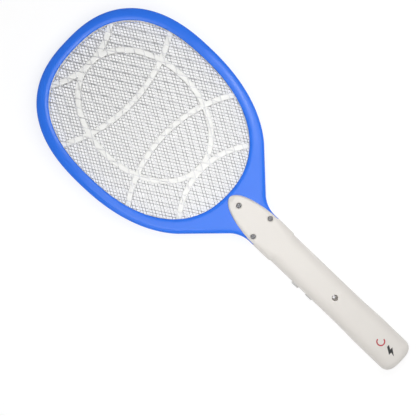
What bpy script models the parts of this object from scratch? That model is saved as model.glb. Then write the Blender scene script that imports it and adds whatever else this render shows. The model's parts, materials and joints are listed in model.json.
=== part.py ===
"""Electric fly swatter, lying flat with its screw side up.

Metres. +Y points from the handle to the top of the head, +X to the right seen from above and +Z up.
The origin is under the middle of the object. The two halves of the head and of the handle meet in
the plane z = MID_Z: "rear" pieces are above it and "front" pieces mirror them below it, so most
heights here are counted from that plane and a side of +1 or -1 says which way they go.
"""

import math

import bmesh
import bpy
from mathutils import Vector

# Overall
HANDLE_HEIGHT = 0.028
MID_Z = HANDLE_HEIGHT / 2
TAIL_Y = -0.240
GAP = 0.0003
SIDES = {"rear": 1, "front": -1}

# Head frame: an egg-shaped ring whose outline runs down into a neck and a narrow stalk
HEAD_HALF_HEIGHT = 0.0105
HEAD_EDGE_RADIUS = 0.0030
OUTER = {
    "centre": 0.1253,
    "half": 0.0980,
    "top": 0.1147,
    "top_power": 2.45,
    "low": 0.1360,
    "low_power": 2.2,
}
SHOULDER_Y = 0.0179
NECK_HALF_WIDTH = 0.0190
NECK_ARC_RADIUS = 0.0310
NECK_ARC_Y = -0.0418
NECK_END_Y = -0.0465
STALK_HALF_WIDTH = 0.0155
STALK_END_Y = -0.0600
NECK_POCKET = [
    (0.0448, 0.0030),
    (0.0240, -0.0180),
    (0.0165, -0.0300),
    (0.0078, -0.0300),
    (0.0078, 0.0030),
]
NECK_POCKET_HEIGHT = 0.0065
LEAD_WAY_X = 0.0063
LEAD_WAY_HALF_WIDTH = 0.0019
LEAD_WAY_HALF_HEIGHT = 0.0015

# Opening in the head, and the meshes and spacers behind its lip
OPENING = {
    "centre": 0.1232,
    "half": 0.0855,
    "top": 0.1048,
    "top_power": 2.5,
    "low": 0.1144,
    "low_power": 2.28,
}
OPENING_STEPS = 56
OPENING_EDGE = 0.0010
POCKET_GROWTH = 0.0085
POCKET_HEIGHT = 0.0069
LIVE_MESH_GROWTH = 0.0035
GUARD_MESH_GROWTH = 0.0078
GUARD_MESH_HEIGHT = 0.0062
MESH_THICKNESS = 0.0003

# Spacer frame: a rim round the opening, an oval rib and four bowed ribs
SPACER_LOW = 0.0005
SPACER_HIGH = 0.0059
SPACER_RIM_WIDTH = 0.0040
RIB_WIDTH = 0.0059
RIB_LOW = 0.0027
RIB_STEP = 0.0001
RIM_OVERLAP = 0.0020
OVAL_RIB = {"centre": 0.1279, "half": 0.0571, "height": 0.0789, "steps": 40}
BOWED_RIBS = [
    {"centre": 0.2868, "radius": 0.0805, "facing": -1},
    {"centre": 0.3079, "radius": 0.1613, "facing": -1},
    {"centre": -0.0451, "radius": 0.1447, "facing": 1},
    {"centre": -0.0371, "radius": 0.0835, "facing": 1},
]
BOWED_RIB_STEPS = 12

# Handle covers: one lofted outer shape, split at the middle plane
TONGUE = {"centre": -0.0600, "half": 0.0196, "reach": 0.0654, "power": 2.1}
TONGUE_END_ANGLES = (86, 76, 64, 51, 38, 26, 16)
SOCKET_HALF_WIDTH = 0.0192
SOCKET_END_Y = -0.0690
SHOULDER_END_Y = -0.0710
GRIP_HALF_WIDTH = 0.0181
GRIP_SWELL_START_Y = -0.1650
GRIP_SWELL_END_Y = -0.1980
TAIL_HALF_WIDTH = 0.0190
TAIL_CORNER_RADIUS = 0.0090
TAIL_EDGE_RADIUS = 0.0040
TAIL_ANGLES = (0, 25, 50, 70, 90)
SECTION_RISE = 0.0144
SECTION_STEPS = 12
TONGUE_POWER = 6.0
GRIP_POWER = 2.7
COVER_WALL = 0.0023
COVER_ROOF = 0.0030
CAVITY_START_Y = -0.0620
CAVITY_END_Y = -0.2375
CAVITY_POWER = 2.8

# Screws: three short ones hold the neck, and a sunk one holds the grip
NECK_SCREWS = [(0.0, -0.0076), (-0.0129, -0.0404), (0.0129, -0.0404)]
GRIP_SCREW = (0.0, -0.1451)
SCREW_HEAD_RADIUS = 0.0027
SCREW_HEAD_HEIGHT = 0.0016
SCREW_SHANK_RADIUS = 0.0013
SCREW_LENGTH = 0.0130
COUNTERBORE_RADIUS = 0.0031
NECK_SCREW_SEAT = 0.0119
NECK_POST_RADIUS = 0.0024
GRIP_SCREW_SEAT = 0.0030
GRIP_BOSS_RADIUS = 0.0046
GRIP_BOSS_FLOOR = 0.0014
GRIP_POST_RADIUS = 0.0036
POST_FOOT = -0.0130
POST_BORE_DEPTH = 0.0120

# Switches on the -X side
SLIDE_Y = -0.1070
SLIDE_LENGTH = 0.0091
SLIDE_HEIGHT = 0.0042
SLIDE_STAND = 0.0019
SLIDE_TRAVEL = 0.0040
BUTTON_Y = -0.1261
BUTTON_LENGTH = 0.0087
BUTTON_HEIGHT = 0.0060
BUTTON_STAND = 0.0010
BUTTON_TRAVEL = 0.0008
FLANGE_X = -GRIP_HALF_WIDTH + COVER_WALL + 2 * GAP
FLANGE_THICKNESS = 0.0010
FLANGE_MARGIN = 0.0012
PLUNGER_RADIUS = 0.0015
PLUNGER_REACH = 0.0020
SWITCH_FACE_X = -0.0129
SWITCH_BACK_X = -0.0080

# Circuit board
BOARD_HALF_WIDTH = 0.0130
BOARD_START_Y = -0.0660
BOARD_END_Y = -0.1370
BOARD_BOTTOM = -0.0060
BOARD_TOP = -0.0044
PART_FLOOR = BOARD_TOP + GAP

TRANSFORMER_PLACE = (0.0, -0.0830)
TRANSFORMER_SIZE = (0.0160, 0.0150, 0.0090)
TRANSFORMER_WINDOW = (0.0110, 0.0100)
WINDING_RADIUS = 0.0036
STORAGE_CAPACITOR_PLACE = (0.0030, -0.1000)
STORAGE_CAPACITOR_SIZE = (0.0160, 0.0080, 0.0110)
MULTIPLIER_X = (0.0, 0.0045, 0.0090)
MULTIPLIER_CAPACITOR_Y = -0.1110
MULTIPLIER_CAPACITOR_SIZE = (0.0030, 0.0060, 0.0060)
DIODE_Y = -0.1185
RESISTOR_X = (-0.0030, 0.0010)
RESISTOR_Y = -0.1280
TRANSISTOR_PLACE = (0.0085, -0.1280)
TRANSISTOR_SIZE = (0.0045, 0.0035, 0.0050)

# Battery
BATTERY_START_Y = -0.1520
BATTERY_END_Y = -0.2060
BATTERY_HALF_WIDTH = 0.0110
BATTERY_HALF_HEIGHT = 0.0085
BATTERY_WALL = 0.0012
BATTERY_LID = 0.0012
PLATE_TOP = 0.0025
TERMINAL_X = 0.0060

# Retractable plug in the tail
PIN_RADIUS = 0.0020
PIN_X = 0.0095
PIN_TIP_Y = -0.2392
PIN_LENGTH = 0.0190
CARRIAGE_START_Y = -0.2118
CARRIAGE_HALF_WIDTH = 0.0120
CARRIAGE_HALF_HEIGHT = 0.0040
PLUG_TRAVEL = 0.0165
THUMB_Y = -0.2160
THUMB_STEM = (0.0020, 0.0030)
THUMB_PLATE = (0.0042, 0.0044)
THUMB_PLATE_Z = (0.0004, 0.0013)
THUMB_DISH_DEPTH = 0.0016
CARRIAGE_FOOT_HALF_WIDTH = 0.0035
CARRIAGE_FOOT_Z = 0.0045

# Indicator lamp in the front cover
LAMP_Y = -0.0850
LAMP_RADIUS = 0.0015

# Leads, as the points that each one passes; the battery pair mirror each other
LEAD_RADIUS = 0.0006
LIVE_LEAD = [
    (0.0063, 0.0044, MID_Z),
    (0.0063, -0.0300, MID_Z),
    (0.0063, -0.0560, MID_Z),
    (0.0063, -0.0620, MID_Z - 0.0002),
    (0.0063, -0.0660, MID_Z - 0.0024),
    (0.0063, -0.0700, MID_Z - 0.0034),
]
GUARD_LEAD = [
    (-0.0100, -0.0005, MID_Z + 0.0055),
    (-0.0100, -0.0070, MID_Z + 0.0048),
    (-0.0100, -0.0140, MID_Z + 0.0015),
    (-0.0093, -0.0210, MID_Z),
    (-0.0070, -0.0275, MID_Z),
    (-0.0063, -0.0340, MID_Z),
    (-0.0063, -0.0560, MID_Z),
    (-0.0063, -0.0620, MID_Z - 0.0002),
    (-0.0063, -0.0660, MID_Z - 0.0024),
    (-0.0063, -0.0700, MID_Z - 0.0034),
]
BATTERY_LEAD = [
    (0.0060, -0.1557, MID_Z + 0.0095),
    (0.0062, -0.1515, MID_Z + 0.0094),
    (0.0072, -0.1480, MID_Z + 0.0075),
    (0.0075, -0.1440, MID_Z + 0.0035),
    (0.0070, -0.1400, MID_Z - 0.0005),
    (0.0066, -0.1370, MID_Z - 0.0028),
    (0.0065, -0.1330, MID_Z - 0.0034),
]


# Materials

def material(name, colour, roughness, metallic=0.0):
    result = bpy.data.materials.new(name)
    result.use_nodes = True
    shader = result.node_tree.nodes["Principled BSDF"]
    shader.inputs["Base Color"].default_value = (*colour, 1.0)
    shader.inputs["Roughness"].default_value = roughness
    shader.inputs["Metallic"].default_value = metallic
    result.diffuse_color = (*colour, 1.0)
    return result


def make_materials():
    return {
        "blue": material("blue_gloss_plastic", (0.060, 0.195, 0.870), 0.22),
        "cream": material("cream_plastic", (0.800, 0.770, 0.715), 0.45),
        "white": material("white_plastic", (0.900, 0.900, 0.880), 0.40),
        "wire": material("mesh_wire", (0.580, 0.590, 0.610), 0.35, 1.0),
        "steel": material("screw_steel", (0.500, 0.500, 0.510), 0.35, 1.0),
        "grey": material("grey_plastic", (0.640, 0.640, 0.630), 0.45),
        "black": material("black_plastic", (0.020, 0.020, 0.022), 0.50),
        "board": material("circuit_board", (0.030, 0.230, 0.080), 0.40),
        "copper": material("copper_winding", (0.600, 0.240, 0.110), 0.35, 1.0),
        "core": material("ferrite_core", (0.045, 0.042, 0.042), 0.60),
        "film": material("film_capacitor", (0.450, 0.060, 0.035), 0.35),
        "beige": material("resistor_beige", (0.620, 0.480, 0.300), 0.45),
        "lamp": material("red_lamp", (0.650, 0.030, 0.020), 0.15),
        "lead": material("battery_lead", (0.160, 0.165, 0.175), 0.60),
        "brass": material("brass_contact", (0.700, 0.520, 0.230), 0.30, 1.0),
        "chrome": material("plated_pin", (0.720, 0.720, 0.730), 0.20, 1.0),
        "red_wire": material("red_insulation", (0.560, 0.030, 0.025), 0.40),
        "black_wire": material("black_insulation", (0.025, 0.025, 0.027), 0.45),
    }


# Mesh helpers

def add_object(name, mesh_builder, finish):
    bmesh.ops.recalc_face_normals(mesh_builder, faces=mesh_builder.faces)
    mesh = bpy.data.meshes.new(name)
    mesh_builder.to_mesh(mesh)
    mesh_builder.free()
    mesh.materials.append(finish)
    result = bpy.data.objects.new(name, mesh)
    bpy.context.collection.objects.link(result)
    return result


def smooth(part, degrees=35):
    part.data.shade_smooth()
    part.data.set_sharp_from_angle(angle=math.radians(degrees))
    return part


def loft(name, rings, finish, looped=False, split=False):
    """Joins rings of equal length in order, and closes both ends unless the last ring meets the first.

    Split makes triangles, for sides whose four corners aren't in one plane.
    """
    builder = bmesh.new()
    rows = [[builder.verts.new(point) for point in ring] for ring in rings]
    pairs = list(zip(rows, rows[1:]))
    if looped:
        pairs.append((rows[-1], rows[0]))
    else:
        builder.faces.new(rows[0][::-1])
        builder.faces.new(rows[-1])
    for low, high in pairs:
        for index in range(len(low)):
            after = (index + 1) % len(low)
            builder.faces.new((low[index], low[after], high[after], high[index]))
    if split:
        bmesh.ops.triangulate(builder, faces=builder.faces[:])
    return add_object(name, builder, finish)


def prism(name, layers, side, finish):
    """Stacks flat outlines: each layer is an outline and its height from the middle plane."""
    rings = []
    for outline, height in layers:
        rings.append([Vector((point.x, point.y, MID_Z + side * height)) for point in outline])
    return loft(name, rings, finish)


def box(name, low, high, finish):
    corners = [(low[0], low[1]), (high[0], low[1]), (high[0], high[1]), (low[0], high[1])]
    rings = [[Vector((x, y, z)) for x, y in corners] for z in (low[2], high[2])]
    return loft(name, rings, finish)


def turned(name, profile, centre, axis, finish, segments=16, looped=False):
    """Turns (radius, distance along axis) pairs about an axis: 0, 1 or 2 for X, Y or Z."""
    across = [number for number in range(3) if number != axis]
    rings = []
    for radius, distance in profile:
        ring = []
        for index in range(segments):
            angle = 2 * math.pi * index / segments
            point = Vector(centre)
            point[axis] += distance
            point[across[0]] += radius * math.cos(angle)
            point[across[1]] += radius * math.sin(angle)
            ring.append(point)
        rings.append(ring)
    return smooth(loft(name, rings, finish, looped))


def boolean(part, tools, operation):
    """Applies all the tools to the part in one step, and hides them."""
    group = bpy.data.collections.new(f"{part.name}_{operation.lower()}")
    for tool in tools:
        tool.hide_render = True
        tool.display_type = "WIRE"
        group.objects.link(tool)
    modifier = part.modifiers.new(group.name, "BOOLEAN")
    modifier.operation = operation
    modifier.operand_type = "COLLECTION"
    modifier.collection = group
    modifier.solver = "EXACT"


def cut(part, *tools):
    boolean(part, tools, "DIFFERENCE")


def unite(part, *tools):
    boolean(part, tools, "UNION")


def tube(name, route, radius, finish):
    """A round lead along a smooth curve through the route's points."""
    curve = bpy.data.curves.new(name, "CURVE")
    curve.dimensions = "3D"
    curve.bevel_depth = radius
    curve.bevel_resolution = 2
    curve.use_fill_caps = True
    points = smooth_route([Vector(point) for point in route], 4)
    spline = curve.splines.new("POLY")
    spline.points.add(len(points) - 1)
    for place, point in zip(spline.points, points):
        place.co = (*point, 1.0)
    curve.materials.append(finish)
    result = bpy.data.objects.new(name, curve)
    bpy.context.collection.objects.link(result)
    return result


def smooth_route(points, steps):
    ends = [2 * points[0] - points[1], *points, 2 * points[-1] - points[-2]]
    route = []
    for a, b, c, d in zip(ends, ends[1:], ends[2:], ends[3:]):
        for step in range(steps):
            t = step / steps
            line = 2 * b + (c - a) * t + (2 * a - 5 * b + 4 * c - d) * t**2
            route.append((line + (3 * b - a - 3 * c + d) * t**3) / 2)
    return route + [points[-1]]


# Outlines in the XY plane

def power_point(angle, half, rise, power):
    c, s = math.cos(angle), math.sin(angle)
    x = math.copysign(abs(c) ** (2 / power), c) * half
    return x, math.copysign(abs(s) ** (2 / power), s) * rise


def egg(shape, steps):
    """Two superellipse halves of the same width, meeting at the centre line of the shape."""
    points = []
    for index in range(steps):
        angle = 2 * math.pi * index / steps
        end = "top" if angle < math.pi else "low"
        x, y = power_point(angle, shape["half"], shape[end], shape[end + "_power"])
        points.append(Vector((x, shape["centre"] + y)))
    return points


def grow(outline, distance):
    """Moves each edge of an anticlockwise outline outwards by a distance."""
    moved = []
    for before, point, after in zip(outline[-1:] + outline[:-1], outline, outline[1:] + outline[:1]):
        first = (point - before).normalized()
        second = (after - point).normalized()
        normal = Vector((first.y + second.y, -first.x - second.x))
        moved.append(point + normal * distance / (1 + first.dot(second)))
    return moved


def rounded_layers(outline, low, high, radius, steps=2):
    layers = [(outline, low)]
    for step in range(steps + 1):
        angle = math.pi / 2 * step / steps
        inset = radius * (1 - math.cos(angle))
        layers.append((grow(outline, -inset), high - radius * (1 - math.sin(angle))))
    return layers


def frame_outline():
    """The head's outer outline: egg, straight shoulders, hollow arcs, neck and stalk."""
    right = []
    for index in range(13):
        angle = math.pi / 2 * (1 - index / 12)
        x, y = power_point(angle, OUTER["half"], OUTER["top"], OUTER["top_power"])
        right.append(Vector((x, OUTER["centre"] + y)))
    drop = (OUTER["centre"] - SHOULDER_Y) / OUTER["low"]
    last = math.asin(drop ** (OUTER["low_power"] / 2))
    for index in range(1, 11):
        x, y = power_point(last * index / 10, OUTER["half"], OUTER["low"], OUTER["low_power"])
        right.append(Vector((x, OUTER["centre"] - y)))
    centre = Vector((NECK_HALF_WIDTH + NECK_ARC_RADIUS, NECK_ARC_Y))
    away = right[-1] - centre
    start = math.atan2(away.y, away.x) + math.acos(NECK_ARC_RADIUS / away.length)
    for index in range(6):
        angle = start + (math.pi - start) * index / 5
        right.append(centre + NECK_ARC_RADIUS * Vector((math.cos(angle), math.sin(angle))))
    right.append(Vector((NECK_HALF_WIDTH, NECK_END_Y)))
    right.append(Vector((STALK_HALF_WIDTH, NECK_END_Y)))
    right.append(Vector((STALK_HALF_WIDTH, STALK_END_Y)))
    left = [Vector((-point.x, point.y)) for point in right[1:]]
    return left + right[::-1]


# Head

def neck_pocket(name, side, across, finish):
    """A hollow beside the neck's solid core, one wall inside the shoulder."""
    shape = [Vector((across * x, y)) for x, y in NECK_POCKET]
    return prism(name, [(shape, -0.001), (shape, NECK_POCKET_HEIGHT)], side, finish)


def head_frame(side_name, finish):
    side = SIDES[side_name]
    name = "head_frame_" + side_name
    opening = egg(OPENING, OPENING_STEPS)
    pocket = grow(opening, POCKET_GROWTH)
    flare = grow(opening, OPENING_EDGE)
    layers = rounded_layers(frame_outline(), GAP / 2, HEAD_HALF_HEIGHT, HEAD_EDGE_RADIUS)
    frame = smooth(prism(name, layers, side, finish))
    hollow = [
        (pocket, -0.001),
        (pocket, POCKET_HEIGHT),
        (opening, POCKET_HEIGHT),
        (opening, HEAD_HALF_HEIGHT - OPENING_EDGE),
        (flare, HEAD_HALF_HEIGHT),
        (flare, HEAD_HALF_HEIGHT + 0.001),
    ]
    tools = [prism(name + "_hollow", hollow, side, finish)]
    for across, word in ((1, "right"), (-1, "left")):
        tools.append(neck_pocket(f"{name}_pocket_{word}", side, across, finish))
        x = across * LEAD_WAY_X
        low = (x - LEAD_WAY_HALF_WIDTH, STALK_END_Y - 0.002, MID_Z - LEAD_WAY_HALF_HEIGHT)
        high = (x + LEAD_WAY_HALF_WIDTH, NECK_POCKET[0][1], MID_Z + LEAD_WAY_HALF_HEIGHT)
        tools.append(box(f"{name}_lead_way_{word}", low, high, finish))
    for number, (x, y) in enumerate(NECK_SCREWS, 1):
        profile = [(NECK_POST_RADIUS + GAP, -0.012), (NECK_POST_RADIUS + GAP, 0.012)]
        tools.append(turned(f"{name}_hole_{number}", profile, (x, y, MID_Z), 2, finish))
    cut(frame, *tools)
    return frame


def mesh_sheet(name, growth, low, side, finish):
    outline = grow(egg(OPENING, OPENING_STEPS), growth)
    return prism(name, [(outline, low), (outline, low + MESH_THICKNESS)], side, finish)


def bowed_rib(name, rib, low, high, side, finish):
    """A band along an arc that ends inside the spacer's rim on both sides."""
    facing = rib["facing"]
    half = OPENING["half"] + RIM_OVERLAP
    reach = 0.0
    inside = True
    while inside:
        reach += math.radians(0.5)
        x = rib["radius"] * math.sin(reach)
        y = rib["centre"] + facing * rib["radius"] * math.cos(reach) - OPENING["centre"]
        end = "top" if y > 0 else "low"
        rise = abs(y) / (OPENING[end] + RIM_OVERLAP)
        inside = (x / half) ** OPENING[end + "_power"] + rise ** OPENING[end + "_power"] < 1
    edges = []
    for radius in (rib["radius"] - RIB_WIDTH / 2, rib["radius"] + RIB_WIDTH / 2):
        edge = []
        for index in range(BOWED_RIB_STEPS + 1):
            angle = reach * (2 * index / BOWED_RIB_STEPS - 1)
            x = radius * math.sin(angle)
            edge.append(Vector((x, rib["centre"] + facing * radius * math.cos(angle))))
        edges.append(edge)
    outline = edges[0] + edges[1][::-1]
    return prism(name, [(outline, low), (outline, high)], side, finish)


def band(name, inner, outer, low, high, side, finish):
    """A flat closed ring between two outlines of equal length."""
    rings = []
    for outline, height in ((outer, low), (outer, high), (inner, high), (inner, low)):
        rings.append([Vector((point.x, point.y, MID_Z + side * height)) for point in outline])
    return loft(name, rings, finish, looped=True)


def spacer_frame(side_name, finish):
    side = SIDES[side_name]
    name = "spacer_frame_" + side_name
    opening = egg(OPENING, OPENING_STEPS)
    rim = grow(opening, SPACER_RIM_WIDTH)
    frame = band(name, opening, rim, SPACER_LOW, SPACER_HIGH, side, finish)
    middle = []
    for index in range(OVAL_RIB["steps"]):
        angle = 2 * math.pi * index / OVAL_RIB["steps"]
        x = OVAL_RIB["half"] * math.cos(angle)
        middle.append(Vector((x, OVAL_RIB["centre"] + OVAL_RIB["height"] * math.sin(angle))))
    inner = grow(middle, -RIB_WIDTH / 2)
    outer = grow(middle, RIB_WIDTH / 2)
    low, high = RIB_LOW, SPACER_HIGH - RIB_STEP
    oval = band(name + "_oval", inner, outer, low, high, side, finish)
    ribs = []
    for number, rib in enumerate(BOWED_RIBS, 1):
        inset = RIB_STEP * number / 2
        rib_name = f"{name}_rib_{number}"
        ribs.append(bowed_rib(rib_name, rib, low + inset, high - inset, side, finish))
    unite(frame, oval, *ribs)
    return frame


# Handle covers

def ease(value):
    value = min(max(value, 0.0), 1.0)
    return value * value * (3 - 2 * value)


def handle_half_width(y):
    if y > NECK_END_Y:
        rise = min((y - TONGUE["centre"]) / TONGUE["reach"], 0.9999)
        return TONGUE["half"] * (1 - rise ** TONGUE["power"]) ** (1 / TONGUE["power"])
    if y > SOCKET_END_Y:
        return SOCKET_HALF_WIDTH
    if y > SHOULDER_END_Y:
        step = (SOCKET_END_Y - y) / (SOCKET_END_Y - SHOULDER_END_Y)
        return SOCKET_HALF_WIDTH + (GRIP_HALF_WIDTH - SOCKET_HALF_WIDTH) * step
    swell = ease((GRIP_SWELL_START_Y - y) / (GRIP_SWELL_START_Y - GRIP_SWELL_END_Y))
    return GRIP_HALF_WIDTH + (TAIL_HALF_WIDTH - GRIP_HALF_WIDTH) * swell


def handle_stations():
    """Each station is its y, half width, half height and superellipse power."""
    places = []
    for degrees in TONGUE_END_ANGLES:
        _, rise = power_point(math.radians(degrees), 1, TONGUE["reach"], TONGUE["power"])
        places.append(TONGUE["centre"] + rise)
    places += [NECK_END_Y, -0.0580, SOCKET_END_Y, SHOULDER_END_Y, -0.1150]
    places += [GRIP_SWELL_START_Y, -0.1815, GRIP_SWELL_END_Y]
    stations = []
    tip = places[0]
    for y in places:
        power = TONGUE_POWER + (GRIP_POWER - TONGUE_POWER) * ease((-0.0300 - y) / 0.0450)
        drop = 0.0022 * (1 - ease((tip - y) / 0.0060))
        stations.append((y, handle_half_width(y), SECTION_RISE - drop, power))
    for degrees in TAIL_ANGLES:
        angle = math.radians(degrees)
        y = TAIL_Y + TAIL_CORNER_RADIUS * (1 - math.sin(angle))
        half = TAIL_HALF_WIDTH - TAIL_CORNER_RADIUS * (1 - math.cos(angle))
        rise = SECTION_RISE - TAIL_EDGE_RADIUS * (1 - math.cos(angle))
        stations.append((y, half, rise, GRIP_POWER))
    return stations


def section(y, half, rise, power, side, limit, base):
    """Half of a superellipse, cut off flat at the limit height and closed along the base height."""
    points = []
    for index in range(SECTION_STEPS + 1):
        angle = math.pi * index / SECTION_STEPS
        x, z = power_point(angle, half, rise, power)
        height = base if index in (0, SECTION_STEPS) else min(z, limit)
        points.append(Vector((x, y, MID_Z + side * height)))
    return points


def cover_cavity(name, side, finish):
    rings = []
    places = (CAVITY_START_Y, SOCKET_END_Y, SHOULDER_END_Y, GRIP_SWELL_START_Y, GRIP_SWELL_END_Y)
    for y in (*places, TAIL_Y + TAIL_CORNER_RADIUS):
        half = min(handle_half_width(y), GRIP_HALF_WIDTH + 0.0005) - COVER_WALL
        rings.append(section(y, half, 0.0112, CAVITY_POWER, side, MID_Z - COVER_ROOF, -0.001))
    rings.append(section(CAVITY_END_Y, 0.0125, 0.0100, CAVITY_POWER, side, 0.0100, -0.001))
    return loft(name, rings, finish, split=True)


def side_slot(name, y_low, y_high, half_height, finish):
    """A cutter through the -X wall."""
    low = (-GRIP_HALF_WIDTH - 0.002, y_low - GAP, MID_Z - half_height - GAP)
    high = (-GRIP_HALF_WIDTH + COVER_WALL + 0.0015, y_high + GAP, MID_Z + half_height + GAP)
    return box(name, low, high, finish)


def cover_cuts(name, finish):
    """Cutters that both covers share: switch slots and pin holes."""
    slide = (SLIDE_Y - SLIDE_LENGTH / 2, SLIDE_Y + SLIDE_LENGTH / 2 + SLIDE_TRAVEL, SLIDE_HEIGHT / 2)
    button = (BUTTON_Y - BUTTON_LENGTH / 2, BUTTON_Y + BUTTON_LENGTH / 2, BUTTON_HEIGHT / 2)
    tools = [
        side_slot(name + "_slide_slot", *slide, finish),
        side_slot(name + "_button_slot", *button, finish),
    ]
    for x, word in ((-PIN_X, "left"), (PIN_X, "right")):
        profile = [(PIN_RADIUS + GAP, 0.0), (PIN_RADIUS + GAP, 0.006)]
        centre = (x, TAIL_Y - 0.001, MID_Z)
        tools.append(turned(f"{name}_pin_hole_{word}", profile, centre, 1, finish))
    return tools


def handle_cover(side_name, finish):
    side = SIDES[side_name]
    name = "handle_cover_" + side_name
    rings = []
    for y, half, rise, power in handle_stations():
        limit = min(MID_Z, rise)
        rings.append(section(y, half, rise, power, side, limit, GAP / 2))
    cover = smooth(loft(name, rings, finish, split=True))
    neck_top = HEAD_HALF_HEIGHT + GAP
    low, high = sorted((MID_Z - side * 0.001, MID_Z + side * neck_top))
    stalk = STALK_HALF_WIDTH + GAP
    neck_room = ((-0.03, NECK_END_Y - GAP, low), (0.03, 0.02, high))
    stalk_room = ((-stalk, CAVITY_START_Y - 0.001, low), (stalk, NECK_END_Y, high))
    cavity = cover_cavity(name + "_cavity", side, finish)
    rooms = [box(name + "_neck_room", *neck_room, finish), box(name + "_stalk_room", *stalk_room, finish)]
    cut(cover, cavity, *rooms)
    return cover


def rear_cover(finish):
    cover = handle_cover("rear", finish)
    x, y = GRIP_SCREW
    floor = GRIP_SCREW_SEAT - GRIP_BOSS_FLOOR
    profile = [(GRIP_BOSS_RADIUS, floor), (GRIP_BOSS_RADIUS, MID_Z - 0.001)]
    unite(cover, turned("grip_boss", profile, (x, y, MID_Z), 2, finish, 20))
    tools = cover_cuts("rear", finish)
    for number, (x, y) in enumerate(NECK_SCREWS, 1):
        tools.append(screw_way(f"neck_screw_way_{number}", x, y, NECK_SCREW_SEAT, finish))
    tools.append(screw_way("grip_screw_way", *GRIP_SCREW, GRIP_SCREW_SEAT, finish))
    cut(cover, *tools)
    return cover


def screw_way(name, x, y, seat, finish):
    narrow = SCREW_SHANK_RADIUS + GAP
    profile = [(narrow, -0.001), (narrow, seat), (COUNTERBORE_RADIUS, seat), (COUNTERBORE_RADIUS, 0.016)]
    return turned(name, profile, (x, y, MID_Z), 2, finish, 20)


def front_cover(finish):
    cover = handle_cover("front", finish)
    posts = [(x, y, NECK_POST_RADIUS, HEAD_HALF_HEIGHT) for x, y in NECK_SCREWS]
    posts.append((*GRIP_SCREW, GRIP_POST_RADIUS, GRIP_SCREW_SEAT - GRIP_BOSS_FLOOR - GAP))
    solid = []
    tools = cover_cuts("front", finish)
    for number, (x, y, radius, top) in enumerate(posts, 1):
        profile = [(radius, POST_FOOT), (radius, top)]
        solid.append(turned(f"post_{number}", profile, (x, y, MID_Z), 2, finish))
        bore = SCREW_SHANK_RADIUS + GAP
        profile = [(bore, top - POST_BORE_DEPTH), (bore, top + 0.001)]
        tools.append(turned(f"post_bore_{number}", profile, (x, y, MID_Z), 2, finish))
    profile = [(LAMP_RADIUS + GAP, -0.001), (LAMP_RADIUS + GAP, 0.006)]
    tools.append(turned("lamp_hole", profile, (0.0, LAMP_Y, 0.0), 2, finish))
    stem_x, stem_y = THUMB_STEM
    plate_x, plate_y = THUMB_PLATE
    slot_low = (-stem_x - GAP, THUMB_Y - PLUG_TRAVEL - stem_y - GAP, -0.001)
    slot_high = (stem_x + GAP, THUMB_Y + stem_y + GAP, 0.0050)
    tools.append(box("thumb_slot", slot_low, slot_high, finish))
    dish_low = (-plate_x - GAP, THUMB_Y - PLUG_TRAVEL - plate_y - 0.001, -0.0015)
    dish_high = (plate_x + GAP, THUMB_Y + plate_y + 0.001, THUMB_DISH_DEPTH)
    tools.append(box("thumb_dish", dish_low, dish_high, finish))
    unite(cover, *solid)
    cut(cover, *tools)
    return cover


# Screws

def screw(name, x, y, seat, finish):
    head = SCREW_HEAD_RADIUS
    profile = [
        (SCREW_SHANK_RADIUS * 0.5, GAP - SCREW_LENGTH),
        (SCREW_SHANK_RADIUS, GAP - SCREW_LENGTH + 0.0015),
        (SCREW_SHANK_RADIUS, GAP),
        (head, GAP),
        (head, GAP + SCREW_HEAD_HEIGHT * 0.6),
        (head * 0.75, GAP + SCREW_HEAD_HEIGHT * 0.95),
        (head * 0.30, GAP + SCREW_HEAD_HEIGHT),
    ]
    return turned(name, profile, (x, y, MID_Z + seat), 2, finish)


def make_screws(finish):
    for number, (x, y) in enumerate(NECK_SCREWS, 1):
        screw(f"neck_screw_{number}", x, y, NECK_SCREW_SEAT, finish)
    screw("grip_screw", *GRIP_SCREW, GRIP_SCREW_SEAT, finish)


# Switches

def sliding_cap(name, y, length, height, stand, finish):
    """A knob through the -X wall: its face outside, its flange behind the wall."""
    wall_x = FLANGE_X
    low = (-GRIP_HALF_WIDTH - stand, y - length / 2, MID_Z - height / 2)
    high = (wall_x + FLANGE_THICKNESS / 2, y + length / 2, MID_Z + height / 2)
    knob = box(name, low, high, finish)
    margin = FLANGE_MARGIN
    low = (wall_x, y - length / 2 - margin, MID_Z - height / 2 - margin)
    high = (wall_x + FLANGE_THICKNESS, y + length / 2 + margin, MID_Z + height / 2 + margin)
    unite(knob, box(name + "_flange", low, high, finish))
    return knob


def make_switches(grey, black):
    sliding_cap("slide_switch_knob", SLIDE_Y, SLIDE_LENGTH, SLIDE_HEIGHT, SLIDE_STAND, grey)
    sliding_cap("push_button", BUTTON_Y, BUTTON_LENGTH, BUTTON_HEIGHT, BUTTON_STAND, grey)
    floor = MID_Z + PART_FLOOR
    low = (SWITCH_FACE_X, SLIDE_Y - 0.0040, floor)
    high = (SWITCH_BACK_X, SLIDE_Y + 0.0060, MID_Z + 0.0030)
    box("slide_switch_body", low, high, black)
    low = (SWITCH_FACE_X, BUTTON_Y - 0.0035, floor)
    high = (SWITCH_BACK_X, BUTTON_Y + 0.0035, MID_Z + 0.0035)
    body = box("push_switch_body", low, high, black)
    centre = (SWITCH_FACE_X, BUTTON_Y, MID_Z)
    depth = PLUNGER_REACH + BUTTON_TRAVEL + GAP
    bore = [(PLUNGER_RADIUS + GAP, -0.001), (PLUNGER_RADIUS + GAP, depth)]
    cut(body, turned("plunger_bore", bore, centre, 0, black))
    front = FLANGE_X + FLANGE_THICKNESS + GAP
    plunger = [(PLUNGER_RADIUS, front - SWITCH_FACE_X), (PLUNGER_RADIUS, PLUNGER_REACH)]
    turned("push_switch_plunger", plunger, centre, 0, grey)


# Circuit board and its parts

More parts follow.
